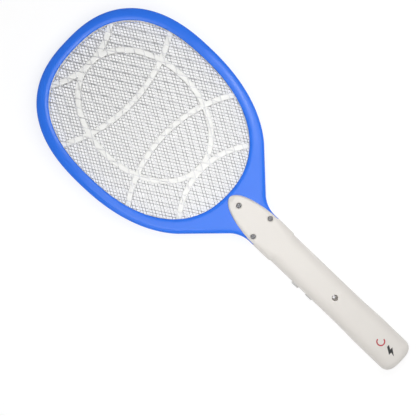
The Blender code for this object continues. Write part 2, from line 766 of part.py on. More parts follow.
def on_board(name, x, y, size, finish):
    """A block standing on the board, centred on x and y."""
    floor = MID_Z + PART_FLOOR
    low = (x - size[0] / 2, y - size[1] / 2, floor)
    high = (x + size[0] / 2, y + size[1] / 2, floor + size[2])
    return box(name, low, high, finish)


def lying_part(name, x, y, radius, length, finish):
    """A cylinder lying on the board along Y."""
    profile = [(radius, -length / 2), (radius, length / 2)]
    return turned(name, profile, (x, y, MID_Z + PART_FLOOR + radius), 1, finish, 10)


def make_transformer(finishes):
    x, y = TRANSFORMER_PLACE
    core = on_board("transformer_core", x, y, TRANSFORMER_SIZE, finishes["core"])
    window_x, window_y = TRANSFORMER_WINDOW
    middle = MID_Z + PART_FLOOR + TRANSFORMER_SIZE[2] / 2
    low = (x - window_x / 2, y - window_y / 2, middle - 0.010)
    high = (x + window_x / 2, y + window_y / 2, middle + 0.010)
    cut(core, box("transformer_window", low, high, finishes["core"]))
    reach = window_x / 2 - GAP
    flange = WINDING_RADIUS + 0.0006
    profile = [(flange, -reach), (flange, 0.0008 - reach), (WINDING_RADIUS, 0.0008 - reach)]
    profile += [(WINDING_RADIUS, reach - 0.0008), (flange, reach - 0.0008), (flange, reach)]
    turned("transformer_winding", profile, (x, y, middle), 0, finishes["copper"])


def make_board(finishes):
    low = (-BOARD_HALF_WIDTH, BOARD_END_Y, MID_Z + BOARD_BOTTOM)
    high = (BOARD_HALF_WIDTH, BOARD_START_Y, MID_Z + BOARD_TOP)
    box("circuit_board", low, high, finishes["board"])
    make_transformer(finishes)
    on_board("storage_capacitor", *STORAGE_CAPACITOR_PLACE, STORAGE_CAPACITOR_SIZE, finishes["film"])
    for number, x in enumerate(MULTIPLIER_X, 1):
        place = (x, MULTIPLIER_CAPACITOR_Y, MULTIPLIER_CAPACITOR_SIZE, finishes["film"])
        on_board(f"multiplier_capacitor_{number}", *place)
        lying_part(f"diode_{number}", x, DIODE_Y, 0.0012, 0.0050, finishes["black"])
    for number, x in enumerate(RESISTOR_X, 1):
        lying_part(f"resistor_{number}", x, RESISTOR_Y, 0.0011, 0.0062, finishes["beige"])
    on_board("transistor", *TRANSISTOR_PLACE, TRANSISTOR_SIZE, finishes["black"])
    top = MID_Z + BOARD_BOTTOM - GAP
    profile = [(LAMP_RADIUS * 0.6, 0.0008), (LAMP_RADIUS, 0.0017), (LAMP_RADIUS, top)]
    turned("indicator_lamp", profile, (0.0, LAMP_Y, 0.0), 2, finishes["lamp"])


# Battery

def make_battery(finishes):
    half, tall, wall = BATTERY_HALF_WIDTH, BATTERY_HALF_HEIGHT, BATTERY_WALL
    rim = MID_Z + tall - BATTERY_LID - GAP
    low = (-half, BATTERY_END_Y, MID_Z - tall)
    case = box("battery_case", low, (half, BATTERY_START_Y, rim), finishes["black"])
    low = (wall - half, BATTERY_END_Y + wall, MID_Z - tall + wall)
    high = (half - wall, BATTERY_START_Y - wall, rim + 0.001)
    cut(case, box("battery_room", low, high, finishes["black"]))
    low = (-half, BATTERY_END_Y, rim + GAP)
    box("battery_lid", low, (half, BATTERY_START_Y, MID_Z + tall), finishes["grey"])
    inset = wall + GAP
    low = (inset - half, BATTERY_END_Y + inset, MID_Z - tall + inset)
    high = (half - inset, BATTERY_START_Y - inset, MID_Z + PLATE_TOP)
    box("battery_plates", low, high, finishes["lead"])
    for x, word in ((-TERMINAL_X, "left"), (TERMINAL_X, "right")):
        low = (x - 0.0015, BATTERY_START_Y - 0.0080, MID_Z + tall + GAP)
        high = (x + 0.0015, BATTERY_START_Y - 0.0040, MID_Z + tall + GAP + 0.0008)
        box("battery_terminal_" + word, low, high, finishes["brass"])


# Retractable plug

def make_plug(finishes):
    face = PIN_TIP_Y + PIN_LENGTH + GAP
    half, tall = CARRIAGE_HALF_WIDTH, CARRIAGE_HALF_HEIGHT
    low = (-half, face, MID_Z - tall)
    carriage = box("plug_carriage", low, (half, CARRIAGE_START_Y, MID_Z + tall), finishes["black"])
    low = (-CARRIAGE_FOOT_HALF_WIDTH, face + 0.0005, CARRIAGE_FOOT_Z)
    high = (CARRIAGE_FOOT_HALF_WIDTH, CARRIAGE_START_Y - 0.0005, MID_Z)
    unite(carriage, box("carriage_foot", low, high, finishes["black"]))
    for x, word in ((-PIN_X, "left"), (PIN_X, "right")):
        profile = [
            (PIN_RADIUS * 0.7, 0.0),
            (PIN_RADIUS, 0.0008),
            (PIN_RADIUS, PIN_LENGTH),
        ]
        turned("plug_pin_" + word, profile, (x, PIN_TIP_Y, MID_Z), 1, finishes["chrome"])
    stem_x, stem_y = THUMB_STEM
    plate_x, plate_y = THUMB_PLATE
    low = (-plate_x, THUMB_Y - plate_y, THUMB_PLATE_Z[0])
    slider = box("plug_slider", low, (plate_x, THUMB_Y + plate_y, THUMB_PLATE_Z[1]), finishes["grey"])
    low = (-stem_x, THUMB_Y - stem_y, THUMB_PLATE_Z[1] - 0.0004)
    high = (stem_x, THUMB_Y + stem_y, CARRIAGE_FOOT_Z - GAP)
    unite(slider, box("plug_slider_stem", low, high, finishes["grey"]))


# Leads

def make_leads(finishes):
    tube("live_lead", LIVE_LEAD, LEAD_RADIUS, finishes["red_wire"])
    tube("guard_lead", GUARD_LEAD, LEAD_RADIUS, finishes["black_wire"])
    tube("battery_lead_plus", BATTERY_LEAD, LEAD_RADIUS, finishes["red_wire"])
    mirrored = [(-x, y, z) for x, y, z in BATTERY_LEAD]
    tube("battery_lead_minus", mirrored, LEAD_RADIUS, finishes["black_wire"])


def main():
    for old in list(bpy.data.objects):
        bpy.data.objects.remove(old)
    finishes = make_materials()
    for side_name in SIDES:
        head_frame(side_name, finishes["blue"])
        spacer_frame(side_name, finishes["white"])
        guard = ("guard_mesh_" + side_name, GUARD_MESH_GROWTH, GUARD_MESH_HEIGHT)
        mesh_sheet(*guard, SIDES[side_name], finishes["wire"])
    mesh_sheet("live_mesh", LIVE_MESH_GROWTH, -MESH_THICKNESS / 2, 1, finishes["wire"])
    rear_cover(finishes["cream"])
    front_cover(finishes["cream"])
    make_screws(finishes["steel"])
    make_switches(finishes["grey"], finishes["black"])
    make_board(finishes)
    make_battery(finishes)
    make_plug(finishes)
    make_leads(finishes)


main()
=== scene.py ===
"""Looks of the electric fly swatter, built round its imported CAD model.

Metres, in the CAD frame: the swatter lies flat with its screw side up, its handle towards -Y and its
head towards +Y. Its halves meet in the plane z = MID_Z, so most heights are counted from that plane,
and a side of +1 (rear, above) or -1 (front, below) says which way they go.
"""

import json
import math

import bmesh
import bpy
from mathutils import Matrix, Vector


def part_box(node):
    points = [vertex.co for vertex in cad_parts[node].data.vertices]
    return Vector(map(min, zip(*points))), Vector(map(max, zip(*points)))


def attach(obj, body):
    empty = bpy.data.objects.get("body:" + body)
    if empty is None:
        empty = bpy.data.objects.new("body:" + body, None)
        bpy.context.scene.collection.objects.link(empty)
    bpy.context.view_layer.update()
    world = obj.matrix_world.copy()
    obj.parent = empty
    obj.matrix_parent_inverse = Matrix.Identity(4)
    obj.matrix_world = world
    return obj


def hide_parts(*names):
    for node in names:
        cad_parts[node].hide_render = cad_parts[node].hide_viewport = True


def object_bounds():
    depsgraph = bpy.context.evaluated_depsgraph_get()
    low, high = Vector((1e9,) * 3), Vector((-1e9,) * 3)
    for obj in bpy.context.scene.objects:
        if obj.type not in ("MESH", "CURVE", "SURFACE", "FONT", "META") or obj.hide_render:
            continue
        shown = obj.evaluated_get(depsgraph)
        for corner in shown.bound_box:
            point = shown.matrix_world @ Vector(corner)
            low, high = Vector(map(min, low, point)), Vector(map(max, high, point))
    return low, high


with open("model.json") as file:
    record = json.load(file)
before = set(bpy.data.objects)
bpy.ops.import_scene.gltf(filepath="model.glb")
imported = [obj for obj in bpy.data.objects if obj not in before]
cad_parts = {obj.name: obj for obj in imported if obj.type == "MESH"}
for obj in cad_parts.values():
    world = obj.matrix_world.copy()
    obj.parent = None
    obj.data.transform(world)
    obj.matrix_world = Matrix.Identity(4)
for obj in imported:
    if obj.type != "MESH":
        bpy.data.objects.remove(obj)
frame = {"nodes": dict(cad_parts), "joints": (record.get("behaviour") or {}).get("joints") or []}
cad_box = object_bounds()
SIDES = {"rear": 1, "front": -1}

# Places taken from the frame
MID_Z = (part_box("head_frame_front")[0].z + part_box("head_frame_rear")[1].z) / 2
HEAD_HALF_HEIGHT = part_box("head_frame_rear")[1].z - MID_Z
HEAD_HALF_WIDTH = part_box("head_frame_rear")[1].x
HEAD_TOP_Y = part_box("head_frame_rear")[1].y
STALK_END_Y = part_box("head_frame_rear")[0].y
HANDLE_HALF_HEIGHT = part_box("handle_cover_rear")[1].z - MID_Z
TAIL_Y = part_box("handle_cover_rear")[0].y
TONGUE_TIP_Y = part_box("handle_cover_rear")[1].y
GAP = 0.0003

# How far a cutter reaches past the face that it opens, and how deep it bores a hole through a wall
OVERCUT = 0.001
HOLE_DEPTH = 0.006

# Head: outer egg, shoulders, hollow neck arcs and stalk
OUTER_CENTRE_Y = 0.1253
OUTER = {
    "centre": OUTER_CENTRE_Y,
    "half": HEAD_HALF_WIDTH,
    "top": HEAD_TOP_Y - OUTER_CENTRE_Y,
    "top_power": 2.45,
    "low": 0.1360,
    "low_power": 2.2,
}
OUTER_TOP_STEPS = 64
OUTER_LOW_STEPS = 48
SHOULDER_Y = 0.0179
NECK_HALF_WIDTH = 0.0190
NECK_ARC_RADIUS = 0.0310
NECK_ARC_Y = -0.0418
NECK_ARC_STEPS = 24
NECK_END_Y = -0.0465
STALK_HALF_WIDTH = 0.0155
SEAM_CHAMFER = 0.0004
HEAD_EDGE_RADIUS = 0.0030
HEAD_EDGE_STEPS = 8
CROWN_DROP = 0.0009
CROWN_WIDTH = 0.0050
CROWN_STEPS = 6
NECK_POCKET = [
    (0.0448, 0.0030),
    (0.0240, -0.0180),
    (0.0165, -0.0300),
    (0.0078, -0.0300),
    (0.0078, 0.0030),
]
NECK_POCKET_HEIGHT = 0.0065
LEAD_WAY_X = 0.0063
LEAD_WAY_HALF_WIDTH = 0.0019
LEAD_WAY_HALF_HEIGHT = 0.0015
POST_HOLE_REACH = 0.012

# Opening, with the pocket that holds the meshes behind its lip
OPENING = {
    "centre": 0.1232,
    "half": 0.0855,
    "top": 0.1048,
    "top_power": 2.5,
    "low": 0.1144,
    "low_power": 2.28,
}
OPENING_STEPS = 192
LIP_RADIUS = 0.0014
LIP_STEPS = 7
INNER_CROWN_DROP = 0.0008
INNER_CROWN_WIDTH = 0.0043
RIM_CLEARANCE = 0.00002
POCKET_GROWTH = 0.0085
POCKET_HEIGHT = 0.0069

# Wire meshes: two families of wires lean this far to either side of the Y axis, in a field that reaches
# this far from the middle of the opening. A wire's section is given as its half width and half height
WIRE_LEAN = math.radians(31.5)
WIRE_FIELD = 0.16
WIRE_SIDES = 8
WIRE_SHARP_DEGREES = 60
PARALLEL = 1e-12
GUARD_PITCH = 0.00928
GUARD_GROWTH = 0.0076
GUARD_WIRE = (0.00040, 0.00022)
GUARD_CRIMP = 0.00023
GUARD_CRIMP_STEPS = 6
GUARD_HEIGHT = 0.00638
LIVE_PITCH = 0.00310
LIVE_GROWTH = 0.0033
LIVE_WIRE = (0.00028, 0.00024)
LIVE_WELD = 0.9

# White spacer frames between the meshes: a rim, an oval rib and four bowed ribs
SPACER_LOW = 0.0005
SPACER_HIGH = 0.0059
SPACER_RIM_WIDTH = 0.0040
SPACER_EDGE = 0.0004
RIB_HALF_WIDTH = 0.00295
RIB_LOW = 0.0027
RIB_HIGH = 0.0058
RIB_EDGE = 0.0009
RIB_STAGGER = 0.00005
RIM_OVERLAP = 0.0020
OVAL_STEPS = 128
BOW_STEPS = 24
BOW_SEARCH_STEP = math.radians(0.5)
OVAL_RIB = {"centre": 0.1279, "half": 0.0571, "height": 0.0789}
BOWED_RIBS = [
    {"centre": 0.2868, "radius": 0.0805, "facing": -1},
    {"centre": 0.3079, "radius": 0.1613, "facing": -1},
    {"centre": -0.0451, "radius": 0.1447, "facing": 1},
    {"centre": -0.0371, "radius": 0.0835, "facing": 1},
]

# Handle covers
TONGUE_CENTRE_Y = -0.0600
TONGUE_HALF_WIDTH = 0.0196
TONGUE_REACH = TONGUE_TIP_Y - TONGUE_CENTRE_Y
TONGUE_PLAN_POWER = 2.1
TONGUE_STATIONS = 26
TONGUE_FIRST_ANGLE = 88.5
TONGUE_ANGLE_STEP = 2.9
SOCKET_HALF_WIDTH = 0.0192
SOCKET_STATIONS = [-0.0500, -0.0540, -0.0580, -0.0630]
SOCKET_END_Y = -0.0690
SHOULDER_STATIONS = 4
SHOULDER_STATION_STEP = 0.0005
SHOULDER_END_Y = -0.0710
GRIP_HALF_WIDTH = 0.0181
GRIP_SWELL_START_Y = -0.1650
GRIP_SWELL_END_Y = -0.1980
TAIL_HALF_WIDTH = 0.0190
TAIL_CORNER_RADIUS = 0.0090
TAIL_EDGE_RADIUS = 0.0040
TAIL_STEPS = 12
SECTION_RISE = HANDLE_HALF_HEIGHT + 0.0004
SECTION_STEPS = 56
CAP_SOFTNESS = 0.00025
STATION_STEP = 0.0025
TONGUE_POWER = 6.0
GRIP_POWER = 2.7
POWER_CHANGE_START_Y = -0.0300
POWER_CHANGE_LENGTH = 0.0450
TIP_DROP = 0.0022
TIP_DROP_LENGTH = 0.0060
COVER_WALL = 0.0023
COVER_ROOF = 0.0030
NECK_ROOM_X = 0.03
NECK_ROOM_END_Y = 0.02
CAVITY_START_Y = -0.0620
CAVITY_END_Y = -0.2375
CAVITY_POWER = 2.8
CAVITY_RISE = 0.0112
CAVITY_SWELL = 0.0005
CAVITY_END_HALF_WIDTH = 0.0125
CAVITY_END_RISE = 0.0100
CAVITY_STEPS = 12

# Screws: the recess has (height above the head's top, half length, half width) for its mouth and foot,
# and the counterbore's round mouth has (growth, height above the surface) points
NECK_SCREWS = {
    "neck_screw_1": (0.0, -0.0076),
    "neck_screw_2": (-0.0129, -0.0404),
    "neck_screw_3": (0.0129, -0.0404),
}
GRIP_SCREW = (0.0, -0.1451)
NECK_SCREW_SEAT = 0.0119
GRIP_SCREW_SEAT = 0.0030
SCREW_HEAD_RADIUS = 0.0026
SCREW_HEAD_HEIGHT = 0.0016
SCREW_SHANK_RADIUS = 0.0013
SCREW_LENGTH = 0.0130
SCREW_TIP_SHARE = 0.4
SCREW_TIP_LENGTH = 0.0015
SCREW_FOOT_SHARE = 0.96
SCREW_FOOT_CHAMFER = 0.0002
SCREW_DOME_SHARE = 0.45
SCREW_DOME_DROP = 0.0009
SCREW_DOME_RISE = 0.0008
SCREW_DOME_STEPS = 7
SCREW_TOP_SHARE = 0.30
SCREW_MIDDLE_SHARE = 0.05
SCREW_MIDDLE_RISE = 0.00005
RECESS_TURN = math.radians(25)
RECESS_STAGES = [(0.0005, 0.00225, 0.00076), (-0.0014, 0.0011, 0.00008)]
RECESS_STAGGER = 0.00002
COUNTERBORE_RADIUS = 0.0032
COUNTERBORE_MOUTH = [(0.0, -0.0004), (0.0001, -0.0001), (0.0003, 0.0001), (0.0003, 0.0020)]
GRIP_BOSS_RADIUS = 0.0046
GRIP_BOSS_FLOOR = 0.0014
NECK_POST_RADIUS = 0.0024
GRIP_POST_RADIUS = 0.0036
POST_FOOT = -0.0130
POST_BORE_DEPTH = 0.0120

# Switches: each has a flange behind the wall, wider than its slot
FLANGE = 0.0012
FLANGE_THICKNESS = 0.0010
SLOT_REACH = 0.0015
RIDGE_COUNT = 4
RIDGE_DEPTH = 0.0005
RIDGE_STEPS = 8
RIDGE_MARGIN = 0.0008
RIDGE_SHARP_DEGREES = 50
KNOB_FOOT = 0.0006
KNOB_SHOULDER = 0.0009
KNOB_EDGE = 0.0005
BUTTON_FOOT = 0.0005
BUTTON_EDGE = 0.0007
BUTTON_EDGE_RISE = 0.00055
BUTTON_EDGE_STEPS = 5
BUTTON_DOME = [(0.00006, 0.0015), (0.0, 0.0024)]
BUTTON_CORNER = 0.0014
BUTTON_CORNER_STEPS = 5
SMALLEST_CORNER = 0.0003

# Plug, its thumb slider, and the lamp
NOSE_STEPS = 8
PIN_X = 0.0095
PIN_RADIUS = 0.0020
PIN_NOSE_SHARE = 0.8
PIN_HOLE_FLARE = 0.0006
THUMB_STEM_X = 0.0020
THUMB_STEM_Y = 0.0030
THUMB_STEM_OVERLAP = 0.0003
THUMB_PLATE = 0.0009
THUMB_RIM = 0.0005
THUMB_RIDGE_DEPTH = 0.00035
THUMB_SLOT_TOP = 0.0050
THUMB_DISH_BOTTOM = -0.0015
THUMB_DISH_DEPTH = 0.0016
THUMB_DISH_ROOM = 0.001
LAMP_Y = -0.0850
LAMP_DOME_SHARE = 0.7
LAMP_HOLE_RADIUS = 0.0018
LAMP_HOLE_FLARE = 0.0004
LAMP_HOLE_FLARE_DEPTH = 0.0005

# Printed marks near the tail
MARK_THICKNESS = 0.00006
RING_MARK_Y = -0.2103
RING_MARK_RADII = (0.0034, 0.0047)
RING_MARK_OPENING = math.radians(100)
RING_MARK_HEADING = math.radians(44)
RING_MARK_STEPS = 32
BOLT_MARK_Y = -0.2247
BOLT_MARK = [
    (0.0006, 0.0060),
    (-0.0039, -0.0012),
    (-0.0007, -0.0012),
    (-0.0017, -0.0060),
    (0.0040, 0.0017),
    (0.0009, 0.0017),
    (0.0035, 0.0060),
]

# Patterns: features a metre, depths in metres, and the part of a noise's range that is used
NOISE_RANGE = (0.3, 0.7)
TONE_SCALE = 22.0
GLOSS_SCALE = 140.0
GLOSS_SPREAD = 0.05
WAVE_SCALE = 60.0
WAVE_DEPTH_SHARE = 4
WEAR_RADIUS = 0.0006
WEAR_STRENGTH = 0.35
WEAR_RANGE = (0.97, 0.90)
METAL_GLOSS_RANGE = (-0.08, 0.10)
METAL_TONE_SCALE = 90.0
METAL_MARK_SCALE = 900.0
METAL_MARK_DEPTH = 0.000015
ALONG_Y = (1.0, 0.06, 1.0)

# A Mix node has sockets of the same name for numbers and for colours, so the colour ones go by number
MIX_COLOUR_A = 6
MIX_COLOUR_B = 7
MIX_COLOUR_RESULT = 2

# Plastics and other dull materials: name, colour, second shade, roughness, grains a metre, grain depth
BLUE = ("blue_gloss_plastic", (0.032, 0.200, 0.930), (0.028, 0.186, 0.900), 0.19, 1500.0, 0.000006)
BLUE_WORN = (0.085, 0.290, 0.940)
BLUE_SPECULAR = 0.35
CREAM = ("cream_plastic", (0.830, 0.795, 0.750), (0.810, 0.775, 0.730), 0.46, 2600.0, 0.000012)
CREAM_WORN = (0.880, 0.860, 0.830)
RED_LAMP = ("red_lamp", (0.650, 0.030, 0.020), (0.560, 0.020, 0.015), 0.12, 900.0, 0.000004)
FLOOR = ("floor", (0.30, 0.30, 0.30), (0.29, 0.29, 0.29), 0.80, 300.0, 0.00001)
PLASTICS = {
    "white": ("white_plastic", (0.98, 0.98, 0.96), (0.97, 0.97, 0.95), 0.42, 1800.0, 0.00001),
    "grey": ("grey_plastic", (0.62, 0.62, 0.61), (0.58, 0.58, 0.57), 0.42, 2200.0, 0.00001),
    "black": ("black_plastic", (0.020, 0.020, 0.022), (0.030, 0.030, 0.032), 0.45, 2000.0, 0.00001),
    "core": ("ferrite_core", (0.045, 0.042, 0.042), (0.065, 0.060, 0.060), 0.60, 1600.0, 0.00003),
    "film": ("film_capacitor", (0.450, 0.060, 0.035), (0.390, 0.045, 0.028), 0.30, 800.0, 0.00002),
    "beige": ("resistor_beige", (0.620, 0.480, 0.300), (0.560, 0.420, 0.250), 0.40, 900.0, 0.00002),
    "lead": ("battery_lead", (0.160, 0.165, 0.175), (0.120, 0.125, 0.135), 0.60, 600.0, 0.00006),
    "red_wire": ("red_insulation", (0.560, 0.030, 0.025), (0.500, 0.025, 0.020), 0.38, 900.0, 0.00001),
    "black_wire": ("black_insulation", (0.025, 0.025, 0.027), (0.040, 0.040, 0.042), 0.42, 900.0, 0.00001),
    "red_print": ("red_print", (0.560, 0.030, 0.055), (0.500, 0.026, 0.045), 0.50, 3000.0, 0.000004),
    "dark_print": ("dark_print", (0.022, 0.021, 0.023), (0.032, 0.031, 0.033), 0.50, 3000.0, 0.000004),
}

# Metals: name, colour, second shade, roughness and, for drawn metal, the stretch of its marks
METALS = {
    "guard": ("guard_wire", (0.86, 0.86, 0.87), (0.76, 0.76, 0.77), 0.34),
    "live": ("live_wire", (0.34, 0.34, 0.35), (0.27, 0.27, 0.28), 0.34),
    "steel": ("screw_steel", (0.32, 0.32, 0.33), (0.24, 0.24, 0.25), 0.34),
    # The grip screw's steel is the screw steel made far lighter: painted light that makes up for the shade at
    # the foot of its deep hole
    "painted_light_steel": ("screw_steel_painted_light", (0.92, 0.92, 0.93), (0.84, 0.84, 0.85), 0.34),
    "brass": ("brass_contact", (0.700, 0.520, 0.230), (0.600, 0.430, 0.180), 0.30),
    "chrome": ("plated_pin", (0.720, 0.720, 0.730), (0.640, 0.640, 0.650), 0.18, ALONG_Y),
}

# Floor, world and camera
FLOOR_SIZE = 20.0
FLOOR_GLOW = 0.78
WORLD_STRENGTH = 0.24
CAMERA_AWAY = 1.20
CAMERA_SENSOR = 36.0
CAMERA_LENS = 100.4
CAMERA_OFFSET = (-0.0237, 0.0137)
CAMERA_TURN = math.radians(-46.23)


# Mesh helpers

def add_piece(name, builder, finish):
    bmesh.ops.recalc_face_normals(builder, faces=builder.faces)
    mesh = bpy.data.meshes.new(name)
    builder.to_mesh(mesh)
    builder.free()
    mesh.materials.append(finish)
    piece = bpy.data.objects.new(name, mesh)
    bpy.context.scene.collection.objects.link(piece)
    return piece


def loft(name, rings, finish, looped=False, split=False):
    """Joins rings of equal length in order, and closes both ends unless the last ring meets the first.

    Split makes triangles, for sides whose four corners aren't in one plane.
    """
    builder = bmesh.new()
    rows = [[builder.verts.new(point) for point in ring] for ring in rings]
    pairs = list(zip(rows, rows[1:]))
    if looped:
        pairs.append((rows[-1], rows[0]))
    else:
        builder.faces.new(rows[0][::-1])
        builder.faces.new(rows[-1])
    for low, high in pairs:
        for index in range(len(low)):
            after = (index + 1) % len(low)
            builder.faces.new((low[index], low[after], high[after], high[index]))
    if split:
        bmesh.ops.triangulate(builder, faces=builder.faces[:])
    return add_piece(name, builder, finish)


def prism(name, layers, side, finish):
    """Stacks flat outlines: each layer is an outline and its height from the middle plane."""
    rings = [[Vector((p.x, p.y, MID_Z + side * height)) for p in outline] for outline, height in layers]
    return loft(name, rings, finish)


def box(name, low, high, finish):
    corners = [(low[0], low[1]), (high[0], low[1]), (high[0], high[1]), (low[0], high[1])]
    rings = [[Vector((x, y, z)) for x, y in corners] for z in (low[2], high[2])]
    return loft(name, rings, finish)


def turned(name, profile, centre, axis, finish, segments=40):
    """Turns (radius, distance along axis) pairs about an axis: 0, 1 or 2 for X, Y or Z."""
    across = [number for number in range(3) if number != axis]
    rings = []
    for radius, distance in profile:
        ring = []
        for index in range(segments):
            angle = 2 * math.pi * index / segments
            point = Vector(centre)
            point[axis] += distance
            point[across[0]] += radius * math.cos(angle)
            point[across[1]] += radius * math.sin(angle)
            ring.append(point)
        rings.append(ring)
    return loft(name, rings, finish)


def boolean(part, tools, operation):
    """Applies all the tools to the part in one step, and removes them."""
    group = bpy.data.collections.new(part.name + "_tools")
    for tool in tools:
        group.objects.link(tool)
    modifier = part.modifiers.new(group.name, "BOOLEAN")
    modifier.operation = operation
    modifier.operand_type = "COLLECTION"
    modifier.collection = group
    modifier.solver = "EXACT"
    graph = bpy.context.evaluated_depsgraph_get()
    made = bpy.data.meshes.new_from_object(part.evaluated_get(graph))
    part.modifiers.clear()
    part.data = made
    for tool in tools:
        bpy.data.objects.remove(tool)
    bpy.data.collections.remove(group)


def smooth(part, degrees=35):
    """Smooth shading that follows the large faces and breaks at corners."""
    part.data.shade_smooth()
    part.data.set_sharp_from_angle(angle=math.radians(degrees))
    modifier = part.modifiers.new("even_normals", "WEIGHTED_NORMAL")
    modifier.keep_sharp = True
    return part


def show(part, body, slot, *nodes):
    """Puts the piece on its body, in the place of its CAD nodes."""
    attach(part, body)
    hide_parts(*nodes)
    return part


# Outlines in the XY plane

def ease(value):
    value = min(max(value, 0.0), 1.0)
    return value * value * (3 - 2 * value)


def power_point(angle, half, rise, power):
    c, s = math.cos(angle), math.sin(angle)
    x = math.copysign(abs(c) ** (2 / power), c) * half
    return x, math.copysign(abs(s) ** (2 / power), s) * rise


def egg(shape, steps):
    """Two superellipse halves of the same width, meeting at the centre line of the shape."""
    points = []
    for index in range(steps):
        angle = 2 * math.pi * index / steps
        end = "top" if angle < math.pi else "low"
        x, y = power_point(angle, shape["half"], shape[end], shape[end + "_power"])
        points.append(Vector((x, shape["centre"] + y)))
    return points


def grow(outline, distance):
    """Moves each edge of an anticlockwise outline outwards by a distance."""
    moved = []
    for before, point, after in zip(outline[-1:] + outline[:-1], outline, outline[1:] + outline[:1]):
        first = (point - before).normalized()
        second = (after - point).normalized()
        normal = Vector((first.y + second.y, -first.x - second.x))
        moved.append(point + normal * distance / (1 + first.dot(second)))
    return moved


def rounded_rectangle(half_width, half_height, radius, steps):
    """(across, up) points round a rectangle's middle, with round corners."""
    points = []
    for across, up, start in ((1, 1, 0), (-1, 1, 90), (-1, -1, 180), (1, -1, 270)):
        for step in range(steps + 1):
            angle = math.radians(start + 90 * step / steps)
            x = across * (half_width - radius) + radius * math.cos(angle)
            points.append((x, up * (half_height - radius) + radius * math.sin(angle)))
    return points


def frame_outline():
    """The head's outer outline, anticlockwise: egg, straight shoulders, hollow arcs, neck and stalk."""
    right = []
    for index in range(OUTER_TOP_STEPS + 1):
        angle = math.pi / 2 * (1 - index / OUTER_TOP_STEPS)
        x, y = power_point(angle, OUTER["half"], OUTER["top"], OUTER["top_power"])
        right.append(Vector((x, OUTER["centre"] + y)))
    drop = (OUTER["centre"] - SHOULDER_Y) / OUTER["low"]
    last = math.asin(drop ** (OUTER["low_power"] / 2))
    for index in range(1, OUTER_LOW_STEPS + 1):
        angle = last * index / OUTER_LOW_STEPS
        x, y = power_point(angle, OUTER["half"], OUTER["low"], OUTER["low_power"])
        right.append(Vector((x, OUTER["centre"] - y)))
    centre = Vector((NECK_HALF_WIDTH + NECK_ARC_RADIUS, NECK_ARC_Y))
    away = right[-1] - centre
    start = math.atan2(away.y, away.x) + math.acos(NECK_ARC_RADIUS / away.length)
    for index in range(NECK_ARC_STEPS + 1):
        angle = start + (math.pi - start) * index / NECK_ARC_STEPS
        right.append(centre + NECK_ARC_RADIUS * Vector((math.cos(angle), math.sin(angle))))
    right.append(Vector((NECK_HALF_WIDTH, NECK_END_Y)))
    right.append(Vector((STALK_HALF_WIDTH, NECK_END_Y)))
    right.append(Vector((STALK_HALF_WIDTH, STALK_END_Y)))
    left = [Vector((-point.x, point.y)) for point in right[1:]]
    return left + right[::-1]


# Materials

def drive(made, name, socket):
    shader = made.node_tree.nodes["Principled BSDF"]
    made.node_tree.links.new(socket, shader.inputs[name])


def set_shader(made, name, value):
    made.node_tree.nodes["Principled BSDF"].inputs[name].default_value = value


def add_node(made, kind, inputs):
    """Adds a shader node. Each of its inputs takes a value or a link from a socket."""
    node = made.node_tree.nodes.new("ShaderNode" + kind)
    for name, value in inputs.items():
        if isinstance(value, bpy.types.NodeSocket):
            made.node_tree.links.new(value, node.inputs[name])
        else:
            node.inputs[name].default_value = value
    return node


def new_material(name, colour, roughness, metallic=0.0):
    """A Principled material, with a node named place that gives its patterns their place in metres."""
    made = bpy.data.materials.new(name)
    made.use_nodes = True
    made.diffuse_color = (*colour, 1.0)
    set_shader(made, "Base Color", (*colour, 1.0))
    set_shader(made, "Roughness", roughness)
    set_shader(made, "Metallic", metallic)
    add_node(made, "TexCoord", {}).name = "place"
    return made


def place_of(made):
    return made.node_tree.nodes["place"].outputs["Object"]


def noise(made, scale, detail=3.0, stretch=None):
    """A noise pattern with this many features a metre, as its value socket."""
    source = place_of(made)
    if stretch:
        source = add_node(made, "Mapping", {"Scale": stretch, "Vector": source}).outputs["Vector"]
    return add_node(made, "TexNoise", {"Scale": scale, "Detail": detail, "Vector": source}).outputs["Fac"]


def remap(made, socket, start, end, low, high):
    """Turns start to end of a socket's range into low to high."""
    limits = {"From Min": start, "From Max": end, "To Min": low, "To Max": high}
    return add_node(made, "MapRange", {"Value": socket, **limits}).outputs["Result"]


def spread(made, socket, low, high):
    """Turns a pattern's middle range into low to high."""
    return remap(made, socket, *NOISE_RANGE, low, high)


def mix_colours(made, factor, first, second):
    """A mix of two colours, of which the first may be a socket."""
    if not isinstance(first, bpy.types.NodeSocket):
        first = (*first, 1.0)
    mix = add_node(made, "Mix", {"Factor": factor, MIX_COLOUR_A: first, MIX_COLOUR_B: (*second, 1.0)})
    mix.data_type = "RGBA"
    return mix.outputs[MIX_COLOUR_RESULT]


def edge_wear(made):
    """High along corners and 0 on open faces, from how far a rounded normal leans from the true one."""
    rounded = add_node(made, "Bevel", {"Radius": WEAR_RADIUS})
    rounded.samples = 4
    surface = add_node(made, "NewGeometry", {})
    dot = add_node(made, "VectorMath", {0: rounded.outputs["Normal"], 1: surface.outputs["Normal"]})
    dot.operation = "DOT_PRODUCT"
    return remap(made, dot.outputs["Value"], *WEAR_RANGE, 0.0, WEAR_STRENGTH)


def bump(made, socket, depth, below=None):
    """Adds a height pattern to the surface; below is an earlier bump's normal."""
    inputs = {"Strength": 1.0, "Distance": depth, "Height": socket}
    if below:
        inputs["Normal"] = below
    normal = add_node(made, "Bump", inputs).outputs["Normal"]
    drive(made, "Normal", normal)
    return normal


